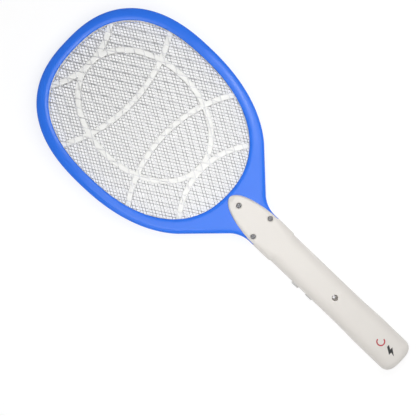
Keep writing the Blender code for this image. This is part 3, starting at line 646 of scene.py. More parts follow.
def plastic(name, colour, shade, roughness, grain, depth, worn=None):
    """Moulded plastic: a colour drifting to a second shade, uneven gloss, faint waves and a fine grain.

    A third colour shows along worn corners, where one is given.
    """
    made = new_material(name, colour, roughness)
    tone = mix_colours(made, spread(made, noise(made, TONE_SCALE), 0.0, 1.0), colour, shade)
    if worn:
        tone = mix_colours(made, edge_wear(made), tone, worn)
    drive(made, "Base Color", tone)
    gloss = noise(made, GLOSS_SCALE, 4.0)
    drive(made, "Roughness", spread(made, gloss, roughness - GLOSS_SPREAD, roughness + GLOSS_SPREAD))
    waves = bump(made, noise(made, WAVE_SCALE, 1.0), depth * WAVE_DEPTH_SHARE)
    bump(made, noise(made, grain, 2.0), depth, waves)
    return made


def metal(name, colour, shade, roughness, stretch=None):
    """Metal with drifting tone and fine drawn or turned marks."""
    made = new_material(name, colour, roughness, 1.0)
    drift = spread(made, noise(made, METAL_TONE_SCALE), 0.0, 1.0)
    drive(made, "Base Color", mix_colours(made, drift, colour, shade))
    marks = noise(made, METAL_MARK_SCALE, 4.0, stretch)
    duller, glossier = METAL_GLOSS_RANGE[1], METAL_GLOSS_RANGE[0]
    drive(made, "Roughness", spread(made, marks, roughness + glossier, roughness + duller))
    bump(made, marks, METAL_MARK_DEPTH)
    return made


def blue_plastic():
    made = plastic(*BLUE, BLUE_WORN)
    set_shader(made, "Specular IOR Level", BLUE_SPECULAR)
    return made


def board_material():
    """Green solder mask over faint copper tracks."""
    green, second_green, track_green = (0.030, 0.230, 0.080), (0.036, 0.260, 0.090), (0.060, 0.360, 0.130)
    made = new_material("circuit_board", green, 0.35)
    colours = {"Color1": (*green, 1.0), "Color2": (*second_green, 1.0), "Mortar": (*track_green, 1.0)}
    tracks = add_node(made, "TexBrick", {"Scale": 260.0, "Vector": place_of(made), **colours})
    drive(made, "Base Color", tracks.outputs["Color"])
    bump(made, noise(made, 700.0), 0.00001)
    return made


def winding_material():
    """Enamelled copper wire, wound about the X axis."""
    made = new_material("copper_winding", (0.600, 0.240, 0.110), 0.32, 1.0)
    turns = add_node(made, "TexWave", {"Scale": 1100.0, "Distortion": 0.4, "Vector": place_of(made)})
    turns.bands_direction = "X"
    shade = mix_colours(made, turns.outputs["Fac"], (0.420, 0.140, 0.060), (0.700, 0.300, 0.140))
    drive(made, "Base Color", shade)
    bump(made, turns.outputs["Fac"], 0.00008)
    return made


def lamp_material():
    made = plastic(*RED_LAMP)
    set_shader(made, "Transmission Weight", 0.5)
    return made


def make_materials():
    finishes = {
        "blue": blue_plastic(),
        "cream": plastic(*CREAM, CREAM_WORN),
        "board": board_material(),
        "copper": winding_material(),
        "lamp": lamp_material(),
    }
    finishes.update({key: plastic(*values) for key, values in PLASTICS.items()})
    finishes.update({key: metal(*values) for key, values in METALS.items()})
    return finishes


# Blue head frame

def rounded_crown(radius, edge_steps, drop, width):
    """(inset, height) points from a wall over its round edge and up a gently crowned face to the top."""
    lean = math.pi / 2 - math.atan(2 * drop / width)
    shoulder = HEAD_HALF_HEIGHT - drop
    points = []
    for step in range(edge_steps + 1):
        angle = lean * step / edge_steps
        height = shoulder - radius * (math.sin(lean) - math.sin(angle))
        points.append((radius * (1 - math.cos(angle)), height))
    start = points[-1][0]
    for step in range(1, CROWN_STEPS + 1):
        share = step / CROWN_STEPS
        points.append((start + width * share, HEAD_HALF_HEIGHT - drop * (1 - share) ** 2))
    return points


def head_layers(outline):
    """One half's outlines from the seam up: chamfer, wall, round edge and crowned face."""
    layers = [(grow(outline, -SEAM_CHAMFER), GAP / 2), (outline, GAP / 2 + SEAM_CHAMFER)]
    for inset, height in rounded_crown(HEAD_EDGE_RADIUS, HEAD_EDGE_STEPS, CROWN_DROP, CROWN_WIDTH):
        layers.append((grow(outline, -inset), height))
    return layers


def opening_cutter(name, side, finish):
    """Cuts the pocket behind the lip, the opening, the lip's round edge and the crown's inner slope."""
    opening = egg(OPENING, OPENING_STEPS)
    pocket = grow(opening, POCKET_GROWTH)
    layers = [(pocket, -OVERCUT), (pocket, POCKET_HEIGHT), (opening, POCKET_HEIGHT)]
    for outset, height in rounded_crown(LIP_RADIUS, LIP_STEPS, INNER_CROWN_DROP, INNER_CROWN_WIDTH):
        layers.append((grow(opening, outset), height))
    rim, top = layers.pop()
    layers += [(rim, top + RIM_CLEARANCE), (rim, top + OVERCUT)]
    return prism(name, layers, side, finish)


def neck_cutters(side, finish):
    """Hollows beside the neck's solid core, ways for the leads and holes for the screw posts."""
    tools = []
    for across in (1, -1):
        shape = [Vector((across * x, y)) for x, y in NECK_POCKET]
        tools.append(prism("neck_pocket", [(shape, -OVERCUT), (shape, NECK_POCKET_HEIGHT)], side, finish))
        x = across * LEAD_WAY_X
        low = (x - LEAD_WAY_HALF_WIDTH, STALK_END_Y - 2 * OVERCUT, MID_Z - LEAD_WAY_HALF_HEIGHT)
        high = (x + LEAD_WAY_HALF_WIDTH, NECK_POCKET[0][1], MID_Z + LEAD_WAY_HALF_HEIGHT)
        tools.append(box("lead_way", low, high, finish))
    radius = NECK_POST_RADIUS + GAP
    profile = [(radius, -POST_HOLE_REACH), (radius, POST_HOLE_REACH)]
    for x, y in NECK_SCREWS.values():
        tools.append(turned("post_hole", profile, (x, y, MID_Z), 2, finish))
    return tools


def blue_frame(side_name, finish):
    side = SIDES[side_name]
    part = prism("blue_frame_" + side_name, head_layers(frame_outline()), side, finish)
    boolean(part, [opening_cutter("opening", side, finish), *neck_cutters(side, finish)], "DIFFERENCE")
    smooth(part)
    return show(part, "racket", "blue_shell", "head_frame_" + side_name)


# Wire meshes

def crossings(outline, point, heading):
    """Where a line through the point along the heading enters and leaves a convex outline."""
    found = []
    for start, end in zip(outline, outline[1:] + outline[:1]):
        edge = end - start
        turn = heading.x * edge.y - heading.y * edge.x
        if abs(turn) < PARALLEL:
            continue
        away = start - point
        share = (away.x * heading.y - away.y * heading.x) / turn
        if 0 <= share < 1:
            found.append((away.x * edge.y - away.y * edge.x) / turn)
    return (min(found), max(found)) if len(found) >= 2 else None


def wire_lines(outline, pitch, lean):
    """Parallel lines across the outline: each is a base point, a heading, its two ends and a number."""
    heading = Vector((math.sin(lean), math.cos(lean)))
    across = Vector((heading.y, -heading.x))
    centre = Vector((0.0, OPENING["centre"]))
    reach = int(WIRE_FIELD / pitch)
    lines = []
    for number in range(-reach, reach + 1):
        base = centre + across * pitch * (number + 0.5)
        ends = crossings(outline, base, heading)
        if ends and ends[1] - ends[0] > pitch:
            lines.append((base, heading, ends, number))
    return lines


def add_wire(points, faces, path, side, wire):
    """Adds a closed tube along a path, with an oval section: wire is its half width and half height."""
    sides = WIRE_SIDES
    first = len(points)
    for place in path:
        for index in range(sides):
            angle = 2 * math.pi * index / sides
            flat = side * (wire[0] * math.cos(angle))
            points.append((place.x + flat.x, place.y + flat.y, place.z + wire[1] * math.sin(angle)))
    for row in range(len(path) - 1):
        for index in range(sides):
            after = (index + 1) % sides
            low, high = first + row * sides, first + (row + 1) * sides
            faces.append((low + index, low + after, high + after, high + index))
    last = first + (len(path) - 1) * sides
    faces.append(tuple(range(first, first + sides))[::-1])
    faces.append(tuple(range(last, last + sides)))


def wire_piece(name, points, faces, finish):
    mesh = bpy.data.meshes.new(name)
    mesh.from_pydata(points, [], faces)
    mesh.materials.append(finish)
    mesh.update()
    mesh.shade_smooth()
    mesh.set_sharp_from_angle(angle=math.radians(WIRE_SHARP_DEGREES))
    piece = bpy.data.objects.new(name, mesh)
    bpy.context.scene.collection.objects.link(piece)
    return piece


def weave_place(spot, lean):
    """How many pitches the spot lies across the family of this lean."""
    across = Vector((math.cos(lean), -math.sin(lean)))
    return (spot - Vector((0.0, OPENING["centre"]))).dot(across) / GUARD_PITCH


def woven_mesh(name, height, finish):
    """Two families of flattened wires, each passing over and under the other in turn."""
    outline = grow(egg(OPENING, OPENING_STEPS), GUARD_GROWTH)
    crossing = GUARD_PITCH / math.sin(2 * WIRE_LEAN)
    step = crossing / GUARD_CRIMP_STEPS
    points, faces = [], []
    for family, lean in ((1, WIRE_LEAN), (-1, -WIRE_LEAN)):
        for base, heading, (start, end), number in wire_lines(outline, GUARD_PITCH, lean):
            count = max(2, round((end - start) / step))
            path = []
            for index in range(count + 1):
                along = start + (end - start) * index / count
                spot = base + heading * along
                wave = math.cos(math.pi * (weave_place(spot, -lean) - 0.5) + math.pi * number)
                path.append(Vector((spot.x, spot.y, height + family * GUARD_CRIMP * wave)))
            side = Vector((heading.y, -heading.x))
            add_wire(points, faces, path, side, GUARD_WIRE)
    return wire_piece(name, points, faces, finish)


def welded_mesh(name, height, finish):
    """Two layers of straight wires, one lying on the other and welded a little way into it."""
    outline = grow(egg(OPENING, OPENING_STEPS), LIVE_GROWTH)
    points, faces = [], []
    for layer, lean in ((1, WIRE_LEAN), (-1, -WIRE_LEAN)):
        z = height + layer * LIVE_WIRE[1] * LIVE_WELD
        for base, heading, (start, end), _ in wire_lines(outline, LIVE_PITCH, lean):
            ends = [base + heading * along for along in (start, end)]
            path = [Vector((spot.x, spot.y, z)) for spot in ends]
            add_wire(points, faces, path, Vector((heading.y, -heading.x)), LIVE_WIRE)
    return wire_piece(name, points, faces, finish)


def make_meshes(finishes):
    for side_name, side in SIDES.items():
        part = woven_mesh("guard_wires_" + side_name, MID_Z + side * GUARD_HEIGHT, finishes["guard"])
        show(part, "racket", "mesh_wire", "guard_mesh_" + side_name)
    part = welded_mesh("live_wires", MID_Z, finishes["live"])
    show(part, "racket", "mesh_wire", "live_mesh")


# White spacer frames

def rib_section(half, low, high, edge, steps=4):
    """(across, height) points of a bar with round upper and lower corners."""
    middle = (low + high) / 2
    corners = rounded_rectangle(half, (high - low) / 2, edge, steps)
    return [(across, middle + height) for across, height in corners]


def swept(name, path, section, side, finish, looped):
    """Sweeps a bar's section along a flat path."""
    if looped:
        around = path[-1:] + path + path[:1]
    else:
        around = [2 * path[0] - path[1], *path, 2 * path[-1] - path[-2]]
    rings = []
    for before, point, after in zip(around, around[1:], around[2:]):
        along = (after - before).normalized()
        across = Vector((along.y, -along.x))
        ring = []
        for offset, height in section:
            spot = point + across * offset
            ring.append(Vector((spot.x, spot.y, MID_Z + side * height)))
        rings.append(ring)
    return loft(name, rings, finish, looped, split=True)


def bowed_path(rib):
    """An arc that ends inside the spacer's rim on both sides."""
    facing = rib["facing"]
    half = OPENING["half"] + RIM_OVERLAP
    reach = 0.0
    inside = True
    while inside:
        reach += BOW_SEARCH_STEP
        x = rib["radius"] * math.sin(reach)
        y = rib["centre"] + facing * rib["radius"] * math.cos(reach) - OPENING["centre"]
        end = "top" if y > 0 else "low"
        rise = abs(y) / (OPENING[end] + RIM_OVERLAP)
        inside = (x / half) ** OPENING[end + "_power"] + rise ** OPENING[end + "_power"] < 1
    path = []
    for index in range(2 * BOW_STEPS + 1):
        angle = reach * (index / BOW_STEPS - 1)
        y = rib["centre"] + facing * rib["radius"] * math.cos(angle)
        path.append(Vector((rib["radius"] * math.sin(angle), y)))
    return path


def oval_path():
    path = []
    for index in range(OVAL_STEPS):
        angle = 2 * math.pi * index / OVAL_STEPS
        y = OVAL_RIB["centre"] + OVAL_RIB["height"] * math.sin(angle)
        path.append(Vector((OVAL_RIB["half"] * math.cos(angle), y)))
    return path


def rib_bar(number):
    """Each rib is a hair lower than the one before, so that no two faces lie in one plane."""
    inset = number * RIB_STAGGER
    return rib_section(RIB_HALF_WIDTH, RIB_LOW + inset, RIB_HIGH - inset, RIB_EDGE)


def spacer(side_name, finish):
    side = SIDES[side_name]
    name = "white_spacer_" + side_name
    middle = grow(egg(OPENING, OPENING_STEPS), SPACER_RIM_WIDTH / 2)
    rim = rib_section(SPACER_RIM_WIDTH / 2, SPACER_LOW, SPACER_HIGH, SPACER_EDGE, steps=2)
    part = swept(name, middle, rim, side, finish, True)
    tools = [swept("oval", oval_path(), rib_bar(0), side, finish, True)]
    for number, rib in enumerate(BOWED_RIBS, 1):
        tools.append(swept(f"bowed_{number}", bowed_path(rib), rib_bar(number), side, finish, False))
    boolean(part, tools, "UNION")
    smooth(part)
    return show(part, "racket", "white_frame", "spacer_frame_" + side_name)


# Handle covers

def handle_half_width(y):
    if y > NECK_END_Y:
        rise = (y - TONGUE_CENTRE_Y) / TONGUE_REACH
        return TONGUE_HALF_WIDTH * (1 - rise ** TONGUE_PLAN_POWER) ** (1 / TONGUE_PLAN_POWER)
    if y > SOCKET_END_Y:
        return SOCKET_HALF_WIDTH
    step = ease((SOCKET_END_Y - y) / (SOCKET_END_Y - SHOULDER_END_Y))
    swell = ease((GRIP_SWELL_START_Y - y) / (GRIP_SWELL_START_Y - GRIP_SWELL_END_Y))
    narrowed = SOCKET_HALF_WIDTH + (GRIP_HALF_WIDTH - SOCKET_HALF_WIDTH) * step
    return narrowed + (TAIL_HALF_WIDTH - GRIP_HALF_WIDTH) * swell


def handle_power(y):
    """The section's superellipse power: high and boxy at the tongue, lower and rounder along the grip."""
    share = ease((POWER_CHANGE_START_Y - y) / POWER_CHANGE_LENGTH)
    return TONGUE_POWER + (GRIP_POWER - TONGUE_POWER) * share


def handle_places():
    """Stations along the handle, close together where its outline turns."""
    places = []
    for index in range(TONGUE_STATIONS):
        angle = math.radians(TONGUE_FIRST_ANGLE - TONGUE_ANGLE_STEP * index)
        places.append(TONGUE_CENTRE_Y + TONGUE_REACH * math.sin(angle) ** (2 / TONGUE_PLAN_POWER))
    places += [NECK_END_Y, *SOCKET_STATIONS, SOCKET_END_Y]
    for index in range(1, SHOULDER_STATIONS + 1):
        places.append(SOCKET_END_Y - SHOULDER_STATION_STEP * index)
    y = SHOULDER_END_Y - STATION_STEP
    while y > TAIL_Y + TAIL_CORNER_RADIUS + STATION_STEP / 2:
        places.append(y)
        y -= STATION_STEP
    return places


def capped(height):
    """The lower of a height and the handle's half height, with a soft turn between them."""
    over = (height - HANDLE_HALF_HEIGHT) / CAP_SOFTNESS
    return height - CAP_SOFTNESS * math.log(1 + math.exp(over))


def section(y, half, rise, power, side):
    """Half of a superellipse with a softly flattened top and a chamfer along the seam."""
    points = []
    for index in range(SECTION_STEPS + 1):
        angle = math.pi * index / SECTION_STEPS
        x, z = power_point(angle, half, rise, power)
        if index in (0, SECTION_STEPS):
            x, z = math.copysign(half - SEAM_CHAMFER, x), GAP / 2
        else:
            z = max(capped(z), GAP / 2 + SEAM_CHAMFER)
        points.append(Vector((x, y, MID_Z + side * z)))
    return points


def cover_rings(side):
    """One cover's sections from the tongue's tip to the tail, whose corners and edges are round."""
    rings = []
    for y in handle_places():
        drop = TIP_DROP * (1 - ease((TONGUE_TIP_Y - y) / TIP_DROP_LENGTH))
        rings.append(section(y, handle_half_width(y), SECTION_RISE - drop, handle_power(y), side))
    for step in range(TAIL_STEPS + 1):
        angle = math.pi / 2 * step / TAIL_STEPS
        y = TAIL_Y + TAIL_CORNER_RADIUS * (1 - math.sin(angle))
        half = TAIL_HALF_WIDTH - TAIL_CORNER_RADIUS * (1 - math.cos(angle))
        rise = SECTION_RISE - TAIL_EDGE_RADIUS * (1 - math.cos(angle))
        rings.append(section(y, half, rise, GRIP_POWER, side))
    return rings


def cavity_section(y, half, rise, side):
    """The same kind of section for the hollow inside, cut off flat under the roof."""
    points = []
    for index in range(CAVITY_STEPS + 1):
        x, z = power_point(math.pi * index / CAVITY_STEPS, half, rise, CAVITY_POWER)
        height = min(z, HANDLE_HALF_HEIGHT - COVER_ROOF)
        if index in (0, CAVITY_STEPS):
            height = -OVERCUT
        points.append(Vector((x, y, MID_Z + side * height)))
    return points


def cover_cavity(side, finish):
    rings = []
    places = (CAVITY_START_Y, SOCKET_END_Y, SHOULDER_END_Y, GRIP_SWELL_START_Y, GRIP_SWELL_END_Y)
    for y in (*places, TAIL_Y + TAIL_CORNER_RADIUS):
        half = min(handle_half_width(y), GRIP_HALF_WIDTH + CAVITY_SWELL) - COVER_WALL
        rings.append(cavity_section(y, half, CAVITY_RISE, side))
    rings.append(cavity_section(CAVITY_END_Y, CAVITY_END_HALF_WIDTH, CAVITY_END_RISE, side))
    return loft("cavity", rings, finish, split=True)


def side_slot(node, travel, finish):
    """A cutter through the -X wall for a knob with a flange behind the wall."""
    low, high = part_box(node)
    wall = -GRIP_HALF_WIDTH + COVER_WALL + SLOT_REACH
    slot_low = (low.x - 2 * OVERCUT, low.y + FLANGE - GAP, low.z + FLANGE - GAP)
    slot_high = (wall, high.y - FLANGE + GAP + travel, high.z - FLANGE + GAP)
    return box(node + "_slot", slot_low, slot_high, finish)


def room_cutters(side, finish):
    """The hollow of one cover, and the room in it for its half of the head's neck and stalk."""
    low, high = sorted((MID_Z - side * OVERCUT, MID_Z + side * (HEAD_HALF_HEIGHT + GAP)))
    stalk = STALK_HALF_WIDTH + GAP
    return [
        cover_cavity(side, finish),
        box("neck_room", (-NECK_ROOM_X, NECK_END_Y - GAP, low), (NECK_ROOM_X, NECK_ROOM_END_Y, high), finish),
        box("stalk_room", (-stalk, CAVITY_START_Y - OVERCUT, low), (stalk, NECK_END_Y, high), finish),
    ]


def joint_travel():
    return {joint["name"]: joint["range_m"][1] for joint in frame["joints"]}


def hole_cutters(finish):
    """The switch slots and the pin holes, which lie across the seam and so cut both covers."""
    travel = joint_travel()
    tools = [
        side_slot("slide_switch_knob", travel["power_slide"], finish),
        side_slot("push_button", 0.0, finish),
    ]
    hole = PIN_RADIUS + GAP
    mouth = hole + PIN_HOLE_FLARE
    profile = [(mouth, -OVERCUT), (mouth, OVERCUT), (hole, OVERCUT + PIN_HOLE_FLARE), (hole, HOLE_DEPTH)]
    for x in (-PIN_X, PIN_X):
        tools.append(turned("pin_hole", profile, (x, TAIL_Y, MID_Z), 1, finish))
    return tools


def screw_way(x, y, seat, top, finish):
    """Shank hole, head room and a small round lead-in at the surface."""
    narrow = SCREW_SHANK_RADIUS + GAP
    profile = [(narrow, -OVERCUT), (narrow, seat), (COUNTERBORE_RADIUS, seat)]
    profile += [(COUNTERBORE_RADIUS + growth, top + height) for growth, height in COUNTERBORE_MOUTH]
    return turned("screw_way", profile, (x, y, MID_Z), 2, finish, 48)


def rear_cover(finish):
    """The upper cover, with the screws' ways and a boss round the grip screw."""
    part = loft("cream_cover_rear", cover_rings(1), finish, split=True)
    boolean(part, room_cutters(1, finish), "DIFFERENCE")
    floor = GRIP_SCREW_SEAT - GRIP_BOSS_FLOOR
    boss = [(GRIP_BOSS_RADIUS, floor), (GRIP_BOSS_RADIUS, HANDLE_HALF_HEIGHT - COVER_ROOF / 3)]
    boolean(part, [turned("grip_boss", boss, (*GRIP_SCREW, MID_Z), 2, finish)], "UNION")
    tools = hole_cutters(finish)
    for x, y in NECK_SCREWS.values():
        tools.append(screw_way(x, y, NECK_SCREW_SEAT, HANDLE_HALF_HEIGHT, finish))
    tools.append(screw_way(*GRIP_SCREW, GRIP_SCREW_SEAT, HANDLE_HALF_HEIGHT, finish))
    boolean(part, tools, "DIFFERENCE")
    smooth(part)
    return show(part, "racket", "cream_shell", "handle_cover_rear")


def front_posts(finish):
    """The posts that take the screws, and their bores."""
    posts = [(x, y, NECK_POST_RADIUS, HEAD_HALF_HEIGHT) for x, y in NECK_SCREWS.values()]
    posts.append((*GRIP_SCREW, GRIP_POST_RADIUS, GRIP_SCREW_SEAT - GRIP_BOSS_FLOOR - GAP))
    bore = SCREW_SHANK_RADIUS + GAP
    solid, bores = [], []
    for x, y, radius, top in posts:
        centre = (x, y, MID_Z)
        solid.append(turned("post", [(radius, POST_FOOT), (radius, top)], centre, 2, finish))
        profile = [(bore, top - POST_BORE_DEPTH), (bore, top + OVERCUT)]
        bores.append(turned("bore", profile, centre, 2, finish))
    return solid, bores


def thumb_cutters(finish):
    """The slider's slot, and the dish that its plate moves in."""
    travel = joint_travel()["plug_extend"]
    low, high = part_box("plug_slider")
    middle = (low.y + high.y) / 2
    slot_low = (-THUMB_STEM_X - GAP, middle - travel - THUMB_STEM_Y - GAP, -OVERCUT)
    slot_high = (THUMB_STEM_X + GAP, middle + THUMB_STEM_Y + GAP, THUMB_SLOT_TOP)
    dish_low = (low.x - GAP, low.y - travel - THUMB_DISH_ROOM, THUMB_DISH_BOTTOM)
    dish_high = (high.x + GAP, high.y + THUMB_DISH_ROOM, THUMB_DISH_DEPTH)
    return [
        box("thumb_slot", slot_low, slot_high, finish),
        box("thumb_dish", dish_low, dish_high, finish),
    ]


def front_cover(finish):
    """The lower cover, with the screw posts, the lamp's hole and the thumb slider's slot."""
    part = loft("cream_cover_front", cover_rings(-1), finish, split=True)
    boolean(part, room_cutters(-1, finish), "DIFFERENCE")
    solid, tools = front_posts(finish)
    boolean(part, solid, "UNION")
    tools += hole_cutters(finish)
    profile = [
        (LAMP_HOLE_RADIUS + LAMP_HOLE_FLARE, -OVERCUT),
        (LAMP_HOLE_RADIUS, LAMP_HOLE_FLARE_DEPTH),
        (LAMP_HOLE_RADIUS, HOLE_DEPTH),
    ]
    tools.append(turned("lamp_hole", profile, (0.0, LAMP_Y, 0.0), 2, finish))
    tools += thumb_cutters(finish)
    boolean(part, tools, "DIFFERENCE")
    smooth(part)
    return show(part, "racket", "cream_shell", "handle_cover_front")


# Screws

def screw_profile(top):
    """A pan head on a pointed shank, from the shank's tip up to the middle of the head."""
    head = SCREW_HEAD_RADIUS
    profile = [
        (SCREW_SHANK_RADIUS * SCREW_TIP_SHARE, GAP - SCREW_LENGTH),
        (SCREW_SHANK_RADIUS, GAP - SCREW_LENGTH + SCREW_TIP_LENGTH),
        (SCREW_SHANK_RADIUS, GAP),
        (head * SCREW_FOOT_SHARE, GAP),
        (head, GAP + SCREW_FOOT_CHAMFER),
    ]
    for step in range(SCREW_DOME_STEPS):
        angle = math.pi / 2 * step / SCREW_DOME_STEPS
        share = 1 - SCREW_DOME_SHARE * (1 - math.cos(angle))
        profile.append((head * share, top - SCREW_DOME_DROP + SCREW_DOME_RISE * math.sin(angle)))
    profile.append((head * SCREW_TOP_SHARE, top - SCREW_MIDDLE_RISE))
    profile.append((head * SCREW_MIDDLE_SHARE, top))
    return profile


def recess_cutters(centre, top, finish):
    """Two crossing wedges, narrower at their foot, the second a hair higher so that no faces coincide."""
    tools = []
    for quarter in (0, 1):
        heading = RECESS_TURN + quarter * math.pi / 2
        along = Vector((math.cos(heading), math.sin(heading), 0.0))
        across = Vector((-along.y, along.x, 0.0))
        rings = []
        for height, long, wide in RECESS_STAGES:
            middle = Vector(centre) + Vector((0.0, 0.0, top + height + quarter * RECESS_STAGGER))
            corners = ((-long, -wide), (long, -wide), (long, wide), (-long, wide))
            rings.append([middle + along * a + across * b for a, b in corners])
        tools.append(loft("wedge", rings, finish))
    return tools


def screw(name, x, y, seat, finish):
    """A pan-head screw with a cross recess."""
    top = GAP + SCREW_HEAD_HEIGHT
    centre = (x, y, MID_Z + seat)
    part = turned("cross_" + name, screw_profile(top), centre, 2, finish, 48)
    boolean(part, recess_cutters(centre, top, finish), "DIFFERENCE")
    smooth(part)
    return show(part, "racket", "screw_steel", name)


def make_screws(finishes):
    for name, (x, y) in NECK_SCREWS.items():
        screw(name, x, y, NECK_SCREW_SEAT, finishes["steel"])
    # The grip screw takes the lightened copy of the screw steel, painted light against the shade of its deep
    # hole
    screw("grip_screw", *GRIP_SCREW, GRIP_SCREW_SEAT, finishes["painted_light_steel"])


# Knobs, button, plug and lamp

def ridged_face(start, end, face, count, depth):
    """(along, level) points of a face with round ridges; depth is from a crest to a valley."""
    points = []
    steps = count * RIDGE_STEPS
    for index in range(steps + 1):
        share = index / steps
        valley = (1 + math.cos(2 * math.pi * count * share)) / 2
        points.append((start + (end - start) * share, face + depth * valley))
    return points


def add_flange(part, low, high, finish):
    """The plate behind the wall that keeps a knob in its slot."""
    plate_low = (high.x - FLANGE_THICKNESS, low.y, low.z)
    boolean(part, [box("flange", plate_low, tuple(high), finish)], "UNION")


def slide_knob(finish):
    """The power switch's knob: a ridged face outside the wall and a flange behind it."""
    low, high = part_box("slide_switch_knob")
    foot, shoulder, edge = high.x - KNOB_FOOT, low.x + KNOB_SHOULDER, KNOB_EDGE
    start, end = low.y + FLANGE, high.y - FLANGE
    ridges = ridged_face(end - RIDGE_MARGIN, start + RIDGE_MARGIN, low.x, RIDGE_COUNT, RIDGE_DEPTH)
    shape = [(foot, start), (foot, end), (shoulder, end)]
    shape += [(x, y) for y, x in ridges] + [(shoulder, start)]
    bottom, top = low.z + FLANGE, high.z - FLANGE
    layers = []
    for z, inset in ((bottom, edge), (bottom + edge, 0.0), (top - edge, 0.0), (top, edge)):
        layer = []
        for x, y in shape:
            kept = min(max(y, start + inset), end - inset)
            layer.append(Vector((max(x, low.x + inset), kept, z)))
        layers.append(layer)
    part = loft("ridged_slide_knob", layers, finish, split=True)
    add_flange(part, low, high, finish)
    smooth(part, RIDGE_SHARP_DEGREES)
    return show(part, "power_switch", "grey_knob", "slide_switch_knob")


def button(finish):
    """The zap button: a softly domed pad outside the wall and a flange behind it."""
    low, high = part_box("push_button")
    middle_y, middle_z = (low.y + high.y) / 2, (low.z + high.z) / 2
    half_y, half_z = (high.y - low.y) / 2 - FLANGE, (high.z - low.z) / 2 - FLANGE
    rim = low.x + BUTTON_EDGE
    stages = [(high.x - BUTTON_FOOT, 0.0), (rim, 0.0)]
    for step in range(1, BUTTON_EDGE_STEPS + 1):
        angle = math.pi / 2 * step / BUTTON_EDGE_STEPS
        stages.append((rim - BUTTON_EDGE_RISE * math.sin(angle), BUTTON_EDGE * (1 - math.cos(angle))))
    stages += [(low.x + drop, inset) for drop, inset in BUTTON_DOME]
    rings = []
    for x, inset in stages:
        corner = max(BUTTON_CORNER - inset, SMALLEST_CORNER)
        outline = rounded_rectangle(half_y - inset, half_z - inset, corner, BUTTON_CORNER_STEPS)
        rings.append([Vector((x, middle_y + y, middle_z + z)) for y, z in outline])
    part = loft("domed_button", rings, finish)
    add_flange(part, low, high, finish)
    smooth(part)
    return show(part, "zap_button", "grey_knob", "push_button")


def round_nosed(radius, nose, length):
    """(radius, distance) points of a rod whose first end is a dome as high as its nose."""
    profile = []
    for step in range(1, NOSE_STEPS + 1):
        angle = math.pi / 2 * step / NOSE_STEPS
        profile.append((radius * math.sin(angle), nose * (1 - math.cos(angle))))
    profile.append((radius, length))
    return profile


def pin(word, finish):
    """A plug pin with a round nose."""
    low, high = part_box("plug_pin_" + word)
    profile = round_nosed(PIN_RADIUS, PIN_RADIUS * PIN_NOSE_SHARE, high.y - low.y)
    centre = ((low.x + high.x) / 2, low.y, (low.z + high.z) / 2)
    part = smooth(turned("round_pin_" + word, profile, centre, 1, finish, 32))
    return show(part, "plug", "pin_plated", "plug_pin_" + word)


def slider(finish):
    """The plug's thumb slider: a ridged plate under the handle and a stem through its slot."""
    low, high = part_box("plug_slider")
    middle = (low.y + high.y) / 2
    plate_top, rim = low.z + THUMB_PLATE, low.z + THUMB_RIM
    start, end = low.y + RIDGE_MARGIN, high.y - RIDGE_MARGIN
    profile = [(high.y, plate_top), (low.y, plate_top), (low.y, rim)]
    profile += ridged_face(start, end, low.z, RIDGE_COUNT, THUMB_RIDGE_DEPTH) + [(high.y, rim)]
    rings = [[Vector((x, y, z)) for y, z in profile] for x in (low.x, high.x)]
    part = loft("ridged_plug_slider", rings, finish)
    stem_low = (-THUMB_STEM_X, middle - THUMB_STEM_Y, plate_top - THUMB_STEM_OVERLAP)
    stem_high = (THUMB_STEM_X, middle + THUMB_STEM_Y, high.z)
    boolean(part, [box("stem", stem_low, stem_high, finish)], "UNION")
    smooth(part, RIDGE_SHARP_DEGREES)
    return show(part, "plug", "grey_knob", "plug_slider")


def lamp(finish):
    """The charging lamp, with a domed lens in the front cover's hole."""
    low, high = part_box("indicator_lamp")
    radius = (high.x - low.x) / 2
    profile = round_nosed(radius, radius * LAMP_DOME_SHARE, high.z - low.z)
    part = smooth(turned("lamp_lens", profile, (0.0, LAMP_Y, low.z), 2, finish, 32))
    return show(part, "racket", "lamp_red", "indicator_lamp")


# Printed marks

def print_height(x, y):
    """The rear cover's height under a point of the print."""
    half = handle_half_width(y)
    rise = SECTION_RISE * (1 - (abs(x) / half) ** GRIP_POWER) ** (1 / GRIP_POWER)
    return MID_Z + capped(rise)


def printed(name, outline, finish):
    """A thin layer of ink in the shape of the outline, lying on the rear cover."""
    rings = []
    for lift in (-MARK_THICKNESS, MARK_THICKNESS):
        rings.append([Vector((x, y, print_height(x, y) + lift)) for x, y in outline])
    part = loft(name, rings, finish)
    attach(part, "racket")
    return part


def ring_mark(finish):
    """A plain open ring."""
    inner, outer = RING_MARK_RADII
    steps = RING_MARK_STEPS
    start = RING_MARK_HEADING + RING_MARK_OPENING / 2
    sweep = 2 * math.pi - RING_MARK_OPENING
    outline = []
    for radius, order in ((outer, range(steps + 1)), (inner, range(steps, -1, -1))):
        for index in order:
            angle = start + sweep * index / steps
            outline.append((radius * math.cos(angle), RING_MARK_Y + radius * math.sin(angle)))
    printed("printed_ring", outline, finish)


def bolt_mark(finish):
    """A plain zigzag bolt."""
    printed("printed_bolt", [(x, BOLT_MARK_Y + y) for x, y in BOLT_MARK], finish)


# Inner pieces keep their CAD shape and take a better material

